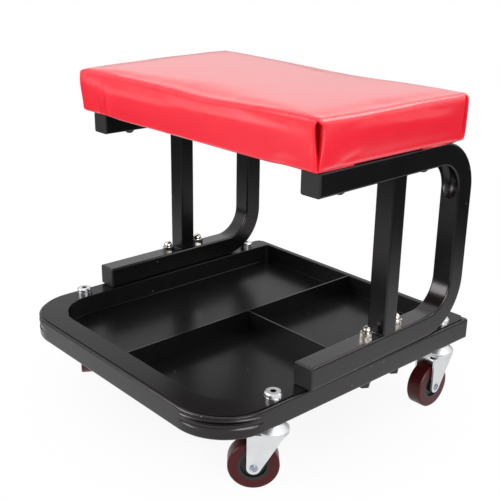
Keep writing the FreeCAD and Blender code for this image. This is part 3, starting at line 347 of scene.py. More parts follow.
def zinc_finish(name, colour, rough, grain, shaded_sockets=False):
    """Bright zinc on pressed steel: soft clouding, rolling grain and a few dark pits, and on the
    bolts
    painted shade: near black colour in their deep sockets."""
    finish = Finish(name)
    cloud = finish.speckle(scale=55.0, detail=3.0)
    lines = finish.speckle(scale=60.0, detail=3.0, roughness=0.6,
                           where=finish.stretched((1.0, 1.0, 9.0)))
    pits = finish.cells(scale=210.0).under(0.11) * finish.speckle(scale=60.0, detail=1.0).over(0.55)
    # the second colour is near black: painted shade for the deep bolt sockets
    pit_colour, socket_shade_colour = opaque((0.25, 0.25, 0.27)), opaque((0.008, 0.008, 0.008))
    clouded = finish.mixed(cloud, opaque(colour, 0.86), opaque(colour, 1.1))
    base = finish.mixed(pits * 0.7, clouded, pit_colour)
    # painted shade: the bolts' deep sockets are coloured near black
    if shaded_sockets:
        base = finish.mixed(socket_mask(finish), base, socket_shade_colour)
    return finish.dress(
        Base_Color=base,
        Metallic=1.0,
        Roughness=rough + cloud * 0.14 + pits * 0.2,
        Normal=finish.bump(lines, grain))


def nickel_finish(colour):
    """Polished nickel with duller patches, whose colour is darkened as painted dark reflection."""
    finish = Finish("nickel")
    dullness_and_painted_reflection = finish.between(finish.speckle(scale=170.0), 0.44, 0.60)
    return finish.dress(
        # painted reflection: the patches' colour is darkened; their higher roughness makes them
        # duller
        Base_Color=finish.mixed(dullness_and_painted_reflection, opaque(colour), opaque(colour, 0.28)),
        Metallic=1.0,
        Roughness=0.10 + dullness_and_painted_reflection * 0.10,
        Normal=finish.bump(finish.speckle(scale=240.0), distance=0.00004))


def black_finish(name, colour):
    """Black oxide on steel: nearly black, a little worn in scattered spots."""
    finish = Finish(name)
    cloud = finish.speckle(scale=160.0, detail=3.0)
    worn = finish.speckle(scale=420.0, detail=3.0).over(0.64)
    return finish.dress(
        Base_Color=finish.mixed(worn * 0.5, opaque(colour), opaque(colour, 4.0)),
        Metallic=0.75,
        Roughness=0.36 + cloud * 0.14,
        Normal=finish.bump(cloud, distance=0.00002))


def plastic_finish(name, colour, rough):
    """Moulded plastic with a fine spark-eroded grain."""
    finish = Finish(name)
    grain = finish.speckle(scale=1500.0)
    tone = finish.speckle(scale=90.0)
    return finish.dress(
        Base_Color=finish.mixed(tone, opaque(colour, 0.8), opaque(colour, 1.3)),
        Roughness=rough + tone * 0.12,
        Specular_IOR_Level=0.35,
        Normal=finish.bump(grain, distance=0.00003))


def tread_finish(colour):
    """Maroon cast wheel tread that lets a little light through, scuffed where it rolls."""
    finish = Finish("tread_cast")
    tone = finish.speckle(scale=70.0, detail=3.0)
    scuff = finish.speckle(scale=420.0, detail=4.0, roughness=0.7)
    return finish.dress(
        Base_Color=finish.mixed(tone, opaque(colour, 0.75), opaque(colour, 1.35)),
        Roughness=0.30 + scuff * 0.14,
        Specular_IOR_Level=0.22,
        Subsurface_Weight=0.30,
        Subsurface_Radius=(0.004, 0.0007, 0.0007),
        Subsurface_Scale=1.0,
        Normal=finish.bump(scuff, distance=0.00004))


def vinyl_masks(finish, edge_level):
    """1 at and in the open fold at the near right corner, 1 only inside it, where shade is
    painted, and 1 on the stretched front top edge."""
    x, y, z = finish.axes(finish.place)
    base, top = CUSHION_BASE, CUSHION_BASE + edge_level
    across, along = x - COVER_HIGH.x, y - COVER_LOW.y
    away = (across * across + along * along) ** 0.5
    below_top = finish.between(z, top - 0.0015, top - 0.0060)
    open_part = below_top * finish.between(z, base + 0.0005, base + 0.0025)
    lips = finish.between(away, 0.0120, 0.0070) * open_part
    behind_walls = finish.between(along.smallest(0.0 - across), 0.0045, 0.0075)
    # inside the fold the vinyl's colour is darkened: painted shade
    inside = behind_walls * (finish.between(away, 0.026, 0.021) * open_part)
    near_front, near_top = (finish.between(along, 0.0100, 0.0040),
                            finish.between(z, top - 0.0085, top - 0.0055))
    return lips.largest(inside), inside, near_front * near_top


def vinyl_finish(colour, edge_level):
    """Glossy vinyl: fine leather grain of little cells, clouding and a clear top coat, which is
    thin and streaky on the front top edge. Painted shade darkens the colour inside the open fold,
    and the coat is mostly taken off at and in the fold."""
    finish = Finish("vinyl_red")
    drift = finish.node("ShaderNodeVectorMath", {"operation": "SCALE"}, {
        0: finish.speckle(scale=260.0, output="Color"), "Scale": 0.0016}, "Vector")
    warped = finish.node("ShaderNodeVectorMath", {"operation": "ADD"}, {
        0: finish.place, 1: drift}, "Vector")
    grooves = finish.between(finish.cells(820.0, "DISTANCE_TO_EDGE", warped), 0.0, 0.14)
    pores = finish.speckle(scale=1900.0)
    slack = finish.speckle(scale=34.0)
    cloud = finish.speckle(scale=16.0, detail=3.0)
    open_fold, inside, front_edge = vinyl_masks(finish, edge_level)
    drawn = finish.stretched((520.0, 60.0, 60.0))
    streaks = finish.between(finish.speckle(scale=1.0, where=drawn), 0.35, 0.65)
    thin_coat = front_edge * (0.55 + 0.40 * streaks)
    clouded = finish.mixed(cloud, opaque(colour, 0.92), opaque(colour, 1.06))
    grained = finish.mixed(1.0 - grooves, clouded, opaque(colour, 0.84))
    wavy = finish.bump(slack, distance=0.00012)
    return finish.dress(
        # painted shade: the colour darkens inside the open fold
        Base_Color=finish.mixed(inside * 0.45, grained, opaque(colour, 0.15)),
        Roughness=0.30 + cloud * 0.06 + front_edge * 0.25,
        Specular_IOR_Level=0.4,
        Coat_Weight=0.84 * (1.0 - open_fold * 0.9) * (1.0 - thin_coat),
        Coat_Roughness=0.20,
        Coat_IOR=1.7,
        Normal=finish.bump(grooves + pores * 0.3, distance=0.000045, strength=0.9, under=wavy))


def ply_finish(colour):
    """Plywood: long grain on the faces, thin layers on the edges."""
    finish = Finish("plywood")
    grain = finish.speckle(scale=14.0, detail=5.0, roughness=0.65,
                           where=finish.stretched((1.0, 16.0, 1.0)))
    layers = finish.node("ShaderNodeTexWave", {"bands_direction": "Z", "wave_profile": "SIN"}, {
        "Vector": finish.place, "Scale": 190.0, "Distortion": 0.4}, "Fac")
    grained = finish.mixed(grain, opaque(colour, 0.62), opaque(colour, 1.25))
    return finish.dress(
        Base_Color=finish.mixed(layers * 0.35, grained, opaque(colour, 0.5)),
        Roughness=0.68 + grain * 0.15,
        Normal=finish.bump(grain, distance=0.0002))


def coat_node(name, material):
    """Give a CAD node its finish."""
    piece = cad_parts[name]
    piece.data.materials.clear()
    piece.data.materials.append(material)


def new_piece(name, mesh_data, material):
    """Put a bmesh into the scene as a piece of the frame's body."""
    mesh = bpy.data.meshes.new(name)
    mesh_data.to_mesh(mesh)
    mesh_data.free()
    mesh.shade_smooth()
    piece = bpy.data.objects.new(name, mesh)
    bpy.context.scene.collection.objects.link(piece)
    mesh.materials.append(material)
    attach(piece, "frame")
    return piece


# The cushion's block. It is cut at these distances from its ends, long sides, base and top

TINY = 1e-6
CUT_PITCH = 0.0070   # between the even cuts across and along
MIDDLE_ROWS = 12     # between the close cuts at the base and those at the top
CUTS_FROM_END = (0.0010, 0.0020, 0.0030, 0.0038, 0.0044, 0.0047, 0.0050, 0.0054, 0.0060, 0.0068,
                 0.0078, 0.0092, 0.0115, 0.015, 0.019, 0.0235)
CUTS_FROM_SIDE = (0.0008, 0.0016, 0.0022, 0.0026, 0.0029, 0.0032, 0.0035, 0.0038, 0.0042, 0.0047,
                  0.0054, 0.0064, 0.0078, 0.0096, 0.012, 0.015, 0.019, 0.0235)
CUTS_FROM_BASE = (0.0009, 0.002, 0.0035, 0.0055, 0.008)
CUTS_FROM_TOP = (0.0085, 0.0068, 0.0051, 0.0034, 0.0017)
PULLED_FROM, PULLED_TO = 0.138, 0.166  # across, where the pull of the hem needs finer cuts
FINER = 4            # strips there for each one of the even cuts


def step(value, low, high):
    """0 below low, 1 above high, and smooth between."""
    share = min(1.0, max(0.0, (value - low) / (high - low)))
    return share * share * (3.0 - 2.0 * share)


def hill(value, middle, width):
    """A smooth bump of height 1."""
    return math.exp(-((value - middle) / width) ** 2)


def grid_lines(half, near):
    """Where a cushion's half length is cut: close together by its end, then even."""
    lines = [half - part for part in near]
    left = lines[-1]
    count = max(1, round(left / CUT_PITCH))
    return lines + [left * number / count for number in range(1, count)]


def cushion_block(half_x, half_y, height):
    """A box that is cut into a fine grid, closer by the edges, the corner pleats and the pull of
    the hem."""
    block = bmesh.new()
    bmesh.ops.create_cube(block, size=1.0)
    bmesh.ops.scale(block, vec=(2 * half_x, 2 * half_y, height), verts=block.verts)
    bmesh.ops.translate(block, vec=(0.0, 0.0, height / 2), verts=block.verts)
    start, rest = CUTS_FROM_BASE[-1], height - (CUTS_FROM_BASE[-1] + CUTS_FROM_TOP[0])
    rows = list(CUTS_FROM_BASE)
    rows += [start + rest * share / MIDDLE_ROWS for share in range(1, MIDDLE_ROWS)]
    rows += [height - part for part in CUTS_FROM_TOP]
    lines = grid_lines(half_x, CUTS_FROM_END)
    lines += [low + (high - low) * share / FINER for high, low in zip(lines, lines[1:])
              if low < PULLED_TO and high > PULLED_FROM for share in range(1, FINER)]
    middle, across, along = Vector((0, 0, 0)), Vector((1, 0, 0)), Vector((0, 1, 0))
    cuts = [(across * sign * line, across) for line in lines for sign in (-1, 1)]
    cuts += [(along * sign * line, along)
             for line in grid_lines(half_y, CUTS_FROM_SIDE) for sign in (-1, 1)]
    cuts += [(Vector((0, 0, row)), Vector((0, 0, 1))) for row in rows]
    cuts += [(middle, across), (middle, along)]
    for point, normal in cuts:
        bmesh.ops.bisect_plane(block, geom=block.verts[:] + block.edges[:] + block.faces[:],
                               dist=1e-7, plane_co=point, plane_no=normal)
    return block


# The cushion's plain form. Here and below, a level is 0 at the cushion's base and 1 at its top edge

SIDE_DRAW_SHARE = 0.3      # how far the long sides draw in, as a share of the ends' draw
ARM_SPAN = (0.125, 0.155)  # across, from where the hem hangs free to where an arm carries it


def rolled(inset, rise, radius):
    """Carry a point of a square edge, inset inward and rise below it, on to the round edge."""
    out = radius - inset
    up = radius - rise
    if out <= 0.0 or up <= 0.0:
        return inset, rise
    share = max(out, up) / math.hypot(out, up)
    return radius - out * share, radius - up * share


def rounded(point, half_x, half_y, sizes):
    """Where a point of the box lies, in the quarter where X and Y are positive, once the edges
    are rolled and the upright corners are round."""
    blend, corner_growth, corner_most = 0.006, 0.4, 0.02
    x, y, z = abs(point.x), abs(point.y), point.z
    inset = min(half_x - x, half_y - y)
    by_end = step((half_y - y) - (half_x - x), -blend, blend)
    new_inset, drop = rolled(inset, sizes.edge_level - z,
                             sizes.roll + (sizes.end_roll - sizes.roll) * by_end)
    z = sizes.edge_level - drop
    low_roll = sizes.low_roll + (sizes.low_end_roll - sizes.low_roll) * by_end
    if z < low_roll:
        new_inset, z = rolled(new_inset, z, low_roll)
    ring_x, ring_y = half_x - new_inset, half_y - new_inset
    x *= ring_x / max(half_x - inset, TINY)
    y *= ring_y / max(half_y - inset, TINY)
    radius = min(sizes.corner + new_inset * corner_growth, corner_most)
    side_x, side_y = x - (ring_x - radius), y - (ring_y - radius)
    if side_x > 0.0 and side_y > 0.0:
        share = max(side_x, side_y) / math.hypot(side_x, side_y)
        x = ring_x - radius + side_x * share
        y = ring_y - radius + side_y * share
    return x, y, z


def settle(point, half_x, half_y, sizes):
    """Shape the box into the cushion's plain form: rounded, drawn in at its base, puffed at the
    left end, and raised to its middle, its rear and its left."""
    x, y, z = rounded(point, half_x, half_y, sizes)
    level = point.z / sizes.edge_level
    at_end, at_side = step(x, half_x * 0.70, half_x), step(y, half_y * 0.60, half_y)
    outward_x, outward_y = step(x, half_x * 0.5, half_x), step(y, half_y * 0.5, half_y)
    belly = hill(level, 0.72, 0.42)
    draw = sizes.draw * (1.0 - step(level, -0.1, 0.62))
    x += (sizes.bulge * belly - draw * (1.0 - at_side)) * outward_x
    y -= SIDE_DRAW_SHARE * draw * (1.0 - at_end) * outward_y
    at_base, between_arms = 1.0 - step(level, 0.0, 0.3), 1.0 - step(x, *ARM_SPAN)
    z -= sizes.sag * at_base * at_side * between_arms
    if point.x < 0.0:
        front = 1.0 - step(point.y, -half_y, half_y)
        ear_out, ear_forward = 0.55 + 0.35 * belly, 0.12 + 0.28 * belly
        x += sizes.ear * ear_out * (0.25 + 0.75 * front) * at_end
        y += sizes.ear * ear_forward * front * at_end * at_side
    elif point.y < 0.0:
        x -= sizes.tuck * step(level, 0.2, 0.95) * at_side * at_end
    dome = (1.0 - (x / half_x) ** 4) * (1.0 - (y / half_y) ** 4)
    z += sizes.crown * max(0.0, dome) * step(level, 0.8, 1.0)
    from_left, from_front = point.x / half_x * 0.5 + 0.5, point.y / half_y * 0.5 + 0.5
    rise = sizes.rear_rise + sizes.left_rise * (1.0 - step(from_left, 0.0, 0.70))
    z += rise * (1.0 - (1.0 - from_front) ** 2) * step(level, 0.25, 1.0)
    return Vector((math.copysign(x, point.x), math.copysign(y, point.y), z))


# The cushion's swelling

VOXEL = 0.0052
CLOTH = {"quality": 8, "mass": 0.5, "tension_stiffness": 260.0, "compression_stiffness": 260.0,
         "shear_stiffness": 90.0, "bending_stiffness": 3.0, "use_pressure": True,
         "vertex_group_mass": "held"}
HELD_UNDER = 0.0022         # the hem is held below this height
FREE_RISE = (0.002, 0.014)  # between these heights the moves grow from nothing to their whole
PRESSED_SHARE = 0.12        # what stays of a move inward
SLIDE_MOST = 0.0004         # the longest move along the surface


def restrained(move, out, sizes):
    """A move of the cloth, held small: most outward on the top, and least on the long sides."""
    push = move.dot(out)
    slide = move - out * push
    most = sizes.swell * (1.0 + 0.6 * max(0.0, out.z) - 0.62 * abs(out.y))
    push = most * (1.0 - math.exp(-push / most)) if push > 0.0 else push * PRESSED_SHARE
    if slide.length > 0.0:
        slide *= SLIDE_MOST / max(slide.length, SLIDE_MOST)
    return out * push + slide


def swelling(form, sizes):
    """How the vinyl moves when the foam presses it out: cloth with pressure, held at the hem.
    Gives a function from a point of the plain form to its move."""
    mesh = bpy.data.meshes.new("swell")
    form.to_mesh(mesh)
    piece = bpy.data.objects.new("swell", mesh)
    bpy.context.scene.collection.objects.link(piece)
    bpy.context.view_layer.objects.active = piece
    remesh = piece.modifiers.new("Remesh", "REMESH")
    remesh.mode = "VOXEL"
    remesh.voxel_size = VOXEL
    graph = bpy.context.evaluated_depsgraph_get()
    even = bpy.data.meshes.new_from_object(piece.evaluated_get(graph))
    piece.modifiers.clear()
    piece.data = even
    rest = [vertex.co.copy() for vertex in even.vertices]
    out = [vertex.normal.copy() for vertex in even.vertices]
    faces = [tuple(face.vertices) for face in even.polygons]
    held = piece.vertex_groups.new(name="held")
    held.add([number for number, co in enumerate(rest) if co.z < HELD_UNDER], 1.0, "REPLACE")
    cloth = piece.modifiers.new("Cloth", "CLOTH")
    for name, value in CLOTH.items():
        setattr(cloth.settings, name, value)
    cloth.settings.uniform_pressure_force = sizes.pressure
    cloth.settings.effector_weights.gravity = 0.0
    cloth.collision_settings.use_collision = False
    scene = bpy.context.scene
    for number in range(1, sizes.frames + 1):
        scene.frame_set(number)
    graph = bpy.context.evaluated_depsgraph_get()
    swollen = [vertex.co.copy() for vertex in piece.evaluated_get(graph).data.vertices]
    moves = [restrained(end - start, normal, sizes) * step(start.z, *FREE_RISE)
             for start, end, normal in zip(rest, swollen, out)]
    scene.frame_set(1)
    bpy.data.objects.remove(piece)
    tree = BVHTree.FromPolygons(rest, faces)

    def move_at(point):
        spot, _, index, _ = tree.find_nearest(point)
        corners = faces[index]
        weights = poly_3d_calc([rest[corner] for corner in corners], spot)
        move = Vector((0.0, 0.0, 0.0))
        for corner, weight in zip(corners, weights):
            move += moves[corner] * weight
        return move

    return move_at


# The cushion's folds and dents

WALL_REACH = 0.006  # how near a wall of the block a point is taken for part of it
# The upright pleats: how far they reach in from the end and from the long side; the place, bow
# and width of the slit; the height of the soft roll before it; the depth and reach of the slope
# behind it and of the one at the base
PLEAT_REACH = (0.012, 0.035)
PLEAT_PLACE, PLEAT_BOW = 0.0031, 0.0009
PLEAT_WIDTH, PLEAT_OPENING = 0.00045, 0.00035
PLEAT_ROLL = 0.0011
PLEAT_SLOPE, PLEAT_SLOPE_REACH = 0.0016, 0.0045
PLEAT_BASE, PLEAT_BASE_REACH = 0.0010, 0.006
# The crease that the hem pulls in a long side: depth, place across at the base, and width
PULL_DENTS = ((0.0012, -0.1565, 0.0060), (-0.0010, -0.1480, 0.0040))
PULL_LEAN = 0.0066
BASE_HOLLOW = (0.0022, -0.166, 0.006)
# Slanting dents in a long side: depth, place, level, and spread of level
SLANT_LINE, SLANT_LEAN, SLANT_WIDTH = 0.118, 0.050, 0.012
SLANTED_DENTS = ((0.0006, 0.0, 0.26, 0.26), (-0.0004, 0.024, 0.26, 0.30),
                 (0.0004, 0.048, 0.22, 0.30))
# Dents in an end: depth, place, lean, width, level, and spread of level
END_DENTS = ((0.0008, -0.033, 0.0, 0.0035, 0.72, 0.30),
             (0.0006, -0.082, 0.075, 0.007, 0.16, 0.17),
             (0.0005, -0.094, 0.150, 0.006, 0.14, 0.15))
SLOW_RIPPLE, FAST_RIPPLE, END_RIPPLE = 0.0002, 0.0004, 0.0003
TOP_WAVE, END_SINK, FRONT_RISE, FRONT_SINK, FRONT_DIP = 0.0007, 0.0005, 0.0013, 0.0008, 0.0025


def pleat(point, half_x, half_y, sizes):
    """The upright pleat at a corner: on the end face, just behind the long side, the vinyl that
    wraps round the corner ends in a soft roll with a slit behind it. The near right corner has
    the open fold instead."""
    from_end, near = half_x - abs(point.x), half_y - abs(point.y)
    level = point.z / sizes.edge_level
    open_corner = point.x > 0.0 and point.y < 0.0
    if from_end > PLEAT_REACH[0] or near > PLEAT_REACH[1] or open_corner:
        return point
    on_face = step(abs(point.x), half_x - 0.008, half_x - 0.003)
    shape = step(level, 0.02, 0.30) * (1.0 - step(level, 0.93, 1.0))
    at_base = 1.0 - step(level, 0.0, 0.5)
    middle = PLEAT_PLACE + PLEAT_BOW * math.sin(math.pi * min(1.0, max(0.0, level)))
    width = PLEAT_WIDTH + PLEAT_OPENING * shape
    move = -sizes.pleat * shape * hill(near, middle, width)
    if near < middle:
        move += PLEAT_ROLL * shape * math.sin(math.pi * max(0.0, near) / middle)
    else:
        behind = near - middle
        move -= PLEAT_SLOPE * shape * math.exp(-behind / PLEAT_SLOPE_REACH)
        move -= PLEAT_BASE * at_base * math.exp(-behind / PLEAT_BASE_REACH)
    point.x += math.copysign(1.0, point.x) * move * on_face
    return point


def gathered(distance, reach, share, fade):
    """How far a point ends from the corner when the first reach of a wall is drawn together to a
    share of its width, and the wall up to fade is stretched after it."""
    kept = min(distance, reach) * share
    grown = (distance - reach) * (fade - kept) / (fade - reach) if distance > reach else 0.0
    return kept + grown


def slit(point, plain, half_x, half_y, sizes):
    """The open fold at the near right corner: a tall dark slit, with a crisp lip on the front
    side and a soft slope on the end. It is closed at the top edge and narrow at the base."""
    lip, slope, fade = 0.0050, 0.0080, 0.020
    if plain.x < 0.0 or plain.y > 0.0:
        return point
    from_end, from_side = half_x - plain.x, half_y + plain.y
    if from_end > fade or from_side > fade:
        return point
    level = plain.z / sizes.edge_level
    on_side, on_end, on_top = from_side < TINY, from_end < TINY, level > 0.999
    below_edge = 1.0 - step(level, 0.84, 0.985)
    wide = below_edge * step(level, -0.02, 0.09) * (0.42 + 0.58 * step(level, 0.0, 0.70))
    below_top = 1.0 - step(level, 0.90, 1.0)
    if on_side or on_top:
        point.x -= (gathered(from_end, lip, wide, fade) - from_end) * below_top
    if on_end:
        point.y += (gathered(from_side, slope, wide, fade) - from_side) * below_top
    if on_top:
        return point
    if on_side:
        inside = (1.0 - step(from_end, 0.0043, lip)) * (1.0 - 0.6 * from_end / lip)
        point.y += 0.0005 * wide * hill(from_end, 0.0078, 0.0008)
    else:
        inside = max(0.0, 1.0 - from_side / slope) ** 1.9
    deeper = 0.55 + 0.45 * step(level, 0.05, 0.45)
    deep = sizes.slit * inside * wide * deeper * math.sqrt(0.5)
    point.x -= deep
    point.y += deep
    return point


def side_dent(across, level, side_wall):
    """How deep the pull of the hem dents a long side: a crease by one arm, a hollow at that
    corner's base, and slanting waves by the other arm."""
    pull = (1.0 - step(level, 0.10, 0.82)) * side_wall
    depth, place, width = BASE_HOLLOW
    dent = depth * hill(across, place, width) * (1.0 - step(level, 0.0, 0.5))
    for depth, place, width in PULL_DENTS:
        dent += depth * hill(across - PULL_LEAN * level, place, width) * pull
    slant = across - SLANT_LINE - SLANT_LEAN * (level - 0.2)
    for depth, place, middle, spread in SLANTED_DENTS:
        dent += depth * hill(slant, place, SLANT_WIDTH) * hill(level, middle, spread)
    return dent


def creased(point, half_x, half_y, sizes):
    """The soft dents of the long sides and the ends, and the uneven top."""
    x, y, z = point
    level = z / sizes.edge_level
    side_wall = 1.0 - step(level, 0.80, 1.0)
    if half_y - abs(y) < WALL_REACH:
        way = math.copysign(1.0, y)
        slow = noise.noise(Vector((x * 20.0, level, way * 3.0)))
        fast = noise.noise(Vector((x * 60.0, level * 0.9, way * 7.0)))
        dent = side_dent(x * -way, level, side_wall)
        dent += SLOW_RIPPLE * slow + FAST_RIPPLE * fast * (1.0 - step(level, 0.0, 0.30))
        y -= way * dent * side_wall
    if half_x - abs(x) < WALL_REACH:
        way = math.copysign(1.0, x)
        dent = END_RIPPLE * noise.noise(Vector((y * 26.0, level, way * 5.0)))
        for depth, place, lean, width, middle, spread in END_DENTS:
            dent += depth * hill(y * way - level * lean, place, width) * hill(level, middle, spread)
        x -= way * dent * side_wall
    on_top = step(level, 0.93, 1.0)
    wave = noise.noise(Vector((x * 9.0, y * 9.0, 1.7)))
    end_rim = hill(half_x - abs(x), 0.014, 0.007)
    front_rim = 1.0 - step(half_y + y, 0.0, 0.018)
    z += on_top * (TOP_WAVE * wave - END_SINK * end_rim)
    z += on_top * front_rim * (FRONT_RISE * step(x, 0.09, 0.18) - FRONT_SINK)
    dip = hill(x, 0.025, 0.060) * (1.0 - step(y + half_y, 0.004, 0.050))
    z -= FRONT_DIP * dip * step(level, 0.4, 1.0)
    return Vector((x, y, z))


def cushion_skin(sizes, simulate):
    """The vinyl skin: block, plain form, swelling, dents, pleats, then the hem's opening."""
    clearance, flat_under, hem_under = 0.0004, 0.0004, 0.0006
    half_x = (COVER_HIGH.x - COVER_LOW.x) / 2 - clearance
    half_y = (COVER_HIGH.y - COVER_LOW.y) / 2 - clearance
    centre = Vector(((COVER_HIGH.x + COVER_LOW.x) / 2, (COVER_HIGH.y + COVER_LOW.y) / 2,
                     CUSHION_BASE))
    skin = cushion_block(half_x, half_y, sizes.edge_level)
    plain = [vertex.co.copy() for vertex in skin.verts]
    for vertex in skin.verts:
        vertex.co = settle(vertex.co, half_x, half_y, sizes)
    if simulate:
        move_at = swelling(skin, sizes)
        for vertex in skin.verts:
            vertex.co += move_at(vertex.co)
    for vertex, start in zip(skin.verts, plain):
        if vertex.co.z > flat_under:
            vertex.co = creased(vertex.co, half_x, half_y, sizes)
            vertex.co = pleat(vertex.co, half_x, half_y, sizes)
            vertex.co = slit(vertex.co, start, half_x, half_y, sizes)
    inner_x, inner_y = half_x - sizes.hem, half_y - sizes.hem

    def within_hem(face):
        middle = face.calc_center_median()
        return middle.z < hem_under and abs(middle.x) < inner_x and abs(middle.y) < inner_y

    opening = [face for face in skin.faces if within_hem(face)]
    bmesh.ops.delete(skin, geom=opening, context="FACES")
    bmesh.ops.translate(skin, vec=centre, verts=skin.verts)
    bmesh.ops.recalc_face_normals(skin, faces=skin.faces)
    return skin


def fold_flap(flaps, corner, long_way, short_way, reach_long, reach_short):
    """One thick fold of vinyl under a corner: a five-sided flap that is pressed flat."""
    thick, edge_round, narrows_at, half_width = 0.0013, 0.36, 0.62, 0.022
    start = len(flaps.verts)
    points = [corner, corner + long_way * reach_long,
              corner + long_way * reach_long * narrows_at + short_way * half_width,
              corner + short_way * reach_short * narrows_at + long_way * half_width,
              corner + short_way * reach_short]
    face = flaps.faces.new([flaps.verts.new(point) for point in points])
    grown = bmesh.ops.extrude_face_region(flaps, geom=[face])["geom"]
    moved = [item for item in grown if isinstance(item, bmesh.types.BMVert)]
    bmesh.ops.translate(flaps, vec=(0, 0, thick), verts=moved)
    flaps.verts.ensure_lookup_table()
    linked = (edge for vertex in flaps.verts[start:] for edge in vertex.link_edges)
    bmesh.ops.bevel(flaps, geom=list(dict.fromkeys(linked)), offset=thick * edge_round,
                    offset_type="OFFSET", segments=2, profile=0.5, affect="EDGES", material=-1)


# Operators

class SEAT_OT_frame_paint(bpy.types.Operator):
    """Coat tube, tray and dividers in satin black"""
    bl_idname = "creeper.frame_paint"
    bl_label = "Paint the frame"

    def execute(self, context):
        colour = context.scene.creeper_colours.paint
        tray_colour = [part * 1.6 for part in colour]
        paint = paint_finish("powder_coat", colour, wave=0.00010, coat=0.20, shine=0.33)
        tray = paint_finish("powder_coat_tray", tray_colour, wave=0.00035, coat=0.0, shine=0.16)
        for name in PAINTED:
            coat_node(name, paint)
        coat_node("tray_pan", tray)
        return {"FINISHED"}


class SEAT_OT_hardware(bpy.types.Operator):
    """Plate forks, cups, bolts, nuts, washers and staples"""
    bl_idname = "creeper.hardware"
    bl_label = "Plate the hardware"

    def execute(self, context):
        colours = context.scene.creeper_colours
        pressed = zinc_finish("zinc_pressed", colours.zinc, rough=0.36, grain=0.00004)
        # the bolts get painted shade in their hex sockets
        bright = zinc_finish("zinc_bright", colours.bright, rough=0.18, grain=0.00002, shaded_sockets=True)
        nickel = nickel_finish(colours.nickel)
        black = black_finish("black_oxide", colours.oxide)
        steel = zinc_finish("bearing_steel", colours.steel, rough=0.08, grain=0.000004)
        axle = zinc_finish("axle_blued", colours.axle, rough=0.16, grain=0.00001)
        by_corner = {"fork_": pressed, "caster_cup_": pressed, "balls_": steel, "bush_": steel,
                     "axle_": axle}
        for corner in CORNERS:
            for stem, material in by_corner.items():
                coat_node(stem + corner, material)
        for name in BRIGHT:
            coat_node(name, bright)
        for name in BLACKENED:
            coat_node(name, black)
        coat_node("acorn_nuts", nickel)
        return {"FINISHED"}


class SEAT_OT_plastics(bpy.types.Operator):
    """Colour wheels and tube plugs"""
    bl_idname = "creeper.plastics"
    bl_label = "Colour wheels and plugs"

    def execute(self, context):
        colours = context.scene.creeper_colours
        plug = plastic_finish("plug_plastic", colours.plastic, rough=0.42)
        core = plastic_finish("core_plastic", colours.core, rough=0.38)
        tread = tread_finish(colours.tread)
        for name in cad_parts:
            if name.startswith(("end_cap", "base_cap")):
                coat_node(name, plug)
            elif name.startswith("wheel_core"):
                coat_node(name, core)
            elif name.startswith("wheel_tread"):
                coat_node(name, tread)
        return {"FINISHED"}


class SEAT_OT_board(bpy.types.Operator):
    """Grain the plywood board under the cushion"""
    bl_idname = "creeper.board"
    bl_label = "Grain the board"

    def execute(self, context):
        coat_node("seat_board", ply_finish(context.scene.creeper_colours.ply))
        return {"FINISHED"}


class SEAT_OT_cushion(bpy.types.Operator):
    """Make the padded cushion in red vinyl"""
    bl_idname = "creeper.cushion"
    bl_label = "Make the cushion"

    def execute(self, context):
        sizes = context.scene.creeper_cushion
        skin = cushion_skin(sizes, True)
        vinyl = vinyl_finish(context.scene.creeper_colours.vinyl, sizes.edge_level)
        piece = new_piece("seat_cushion", skin, vinyl)
        wall = piece.modifiers.new("Vinyl", "SOLIDIFY")
        wall.thickness = sizes.vinyl
        wall.offset = -1.0
        smooth = piece.modifiers.new("Smooth", "SUBSURF")
        smooth.levels = 1
        smooth.render_levels = 1
        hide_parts("seat_cover", "seat_foam")
        return {"FINISHED"}


class SEAT_OT_folds(bpy.types.Operator):
    """Fold the thick vinyl corners under the cushion"""
    bl_idname = "creeper.folds"
    bl_label = "Fold the corners under"

    def execute(self, context):
        over_arms, from_end, from_side, rear_factor = 0.00005, 0.0058, 0.0095, 1.2
        fold = context.scene.creeper_cushion.fold
        flaps = bmesh.new()
        for side in (1, -1):
            for edge, inward, reach in ((COVER_LOW.y, 1, fold),
                                        (COVER_HIGH.y, -1, fold * rear_factor)):
                corner = Vector((side * (COVER_HIGH.x - from_end), edge + inward * from_side,
                                 ARM_TOP + over_arms))
                fold_flap(flaps, corner, Vector((0, inward, 0)), Vector((-side, 0, 0)),
                          reach, fold)
        bmesh.ops.recalc_face_normals(flaps, faces=flaps.faces)
        new_piece("corner_folds", flaps, bpy.data.materials["vinyl_red"])
        return {"FINISHED"}


# The studio. The rings are distances from the middle of the floor, in metres

SHADOW_RING = (0.05, 0.34)  # over this the camera's floor clears to plain white
NEAR_RING = (0.33, 0.48)    # up to this, gloss shows the floor white
FAR_RING = (3.0, 5.5)       # and from this on it does again
DARK_RING = (0.48, 0.95)    # over this the floor darkens, so that it throws less light up
DARKENED = 0.05
LOW_SKY, LOW_SKY_TOP = 0.30, 0.15  # strength of the room at the horizon, and how far up it grows
WHITE = (1.0, 1.0, 1.0, 1.0)
MIDDLE = Vector((0.0, 0.0, 0.2))
# Soft boxes: the name of its power in StudioSizes, its width and its place
SOFT_BOXES = (("key", 1.3, Vector((-0.75, -1.75, 0.95))),
              ("side", 1.0, Vector((1.9, -0.35, 0.75))),
              ("top", 1.5, Vector((-0.2, 0.0, 1.9))),
              ("rear", 0.9, Vector((0.70, 1.30, 1.75))))


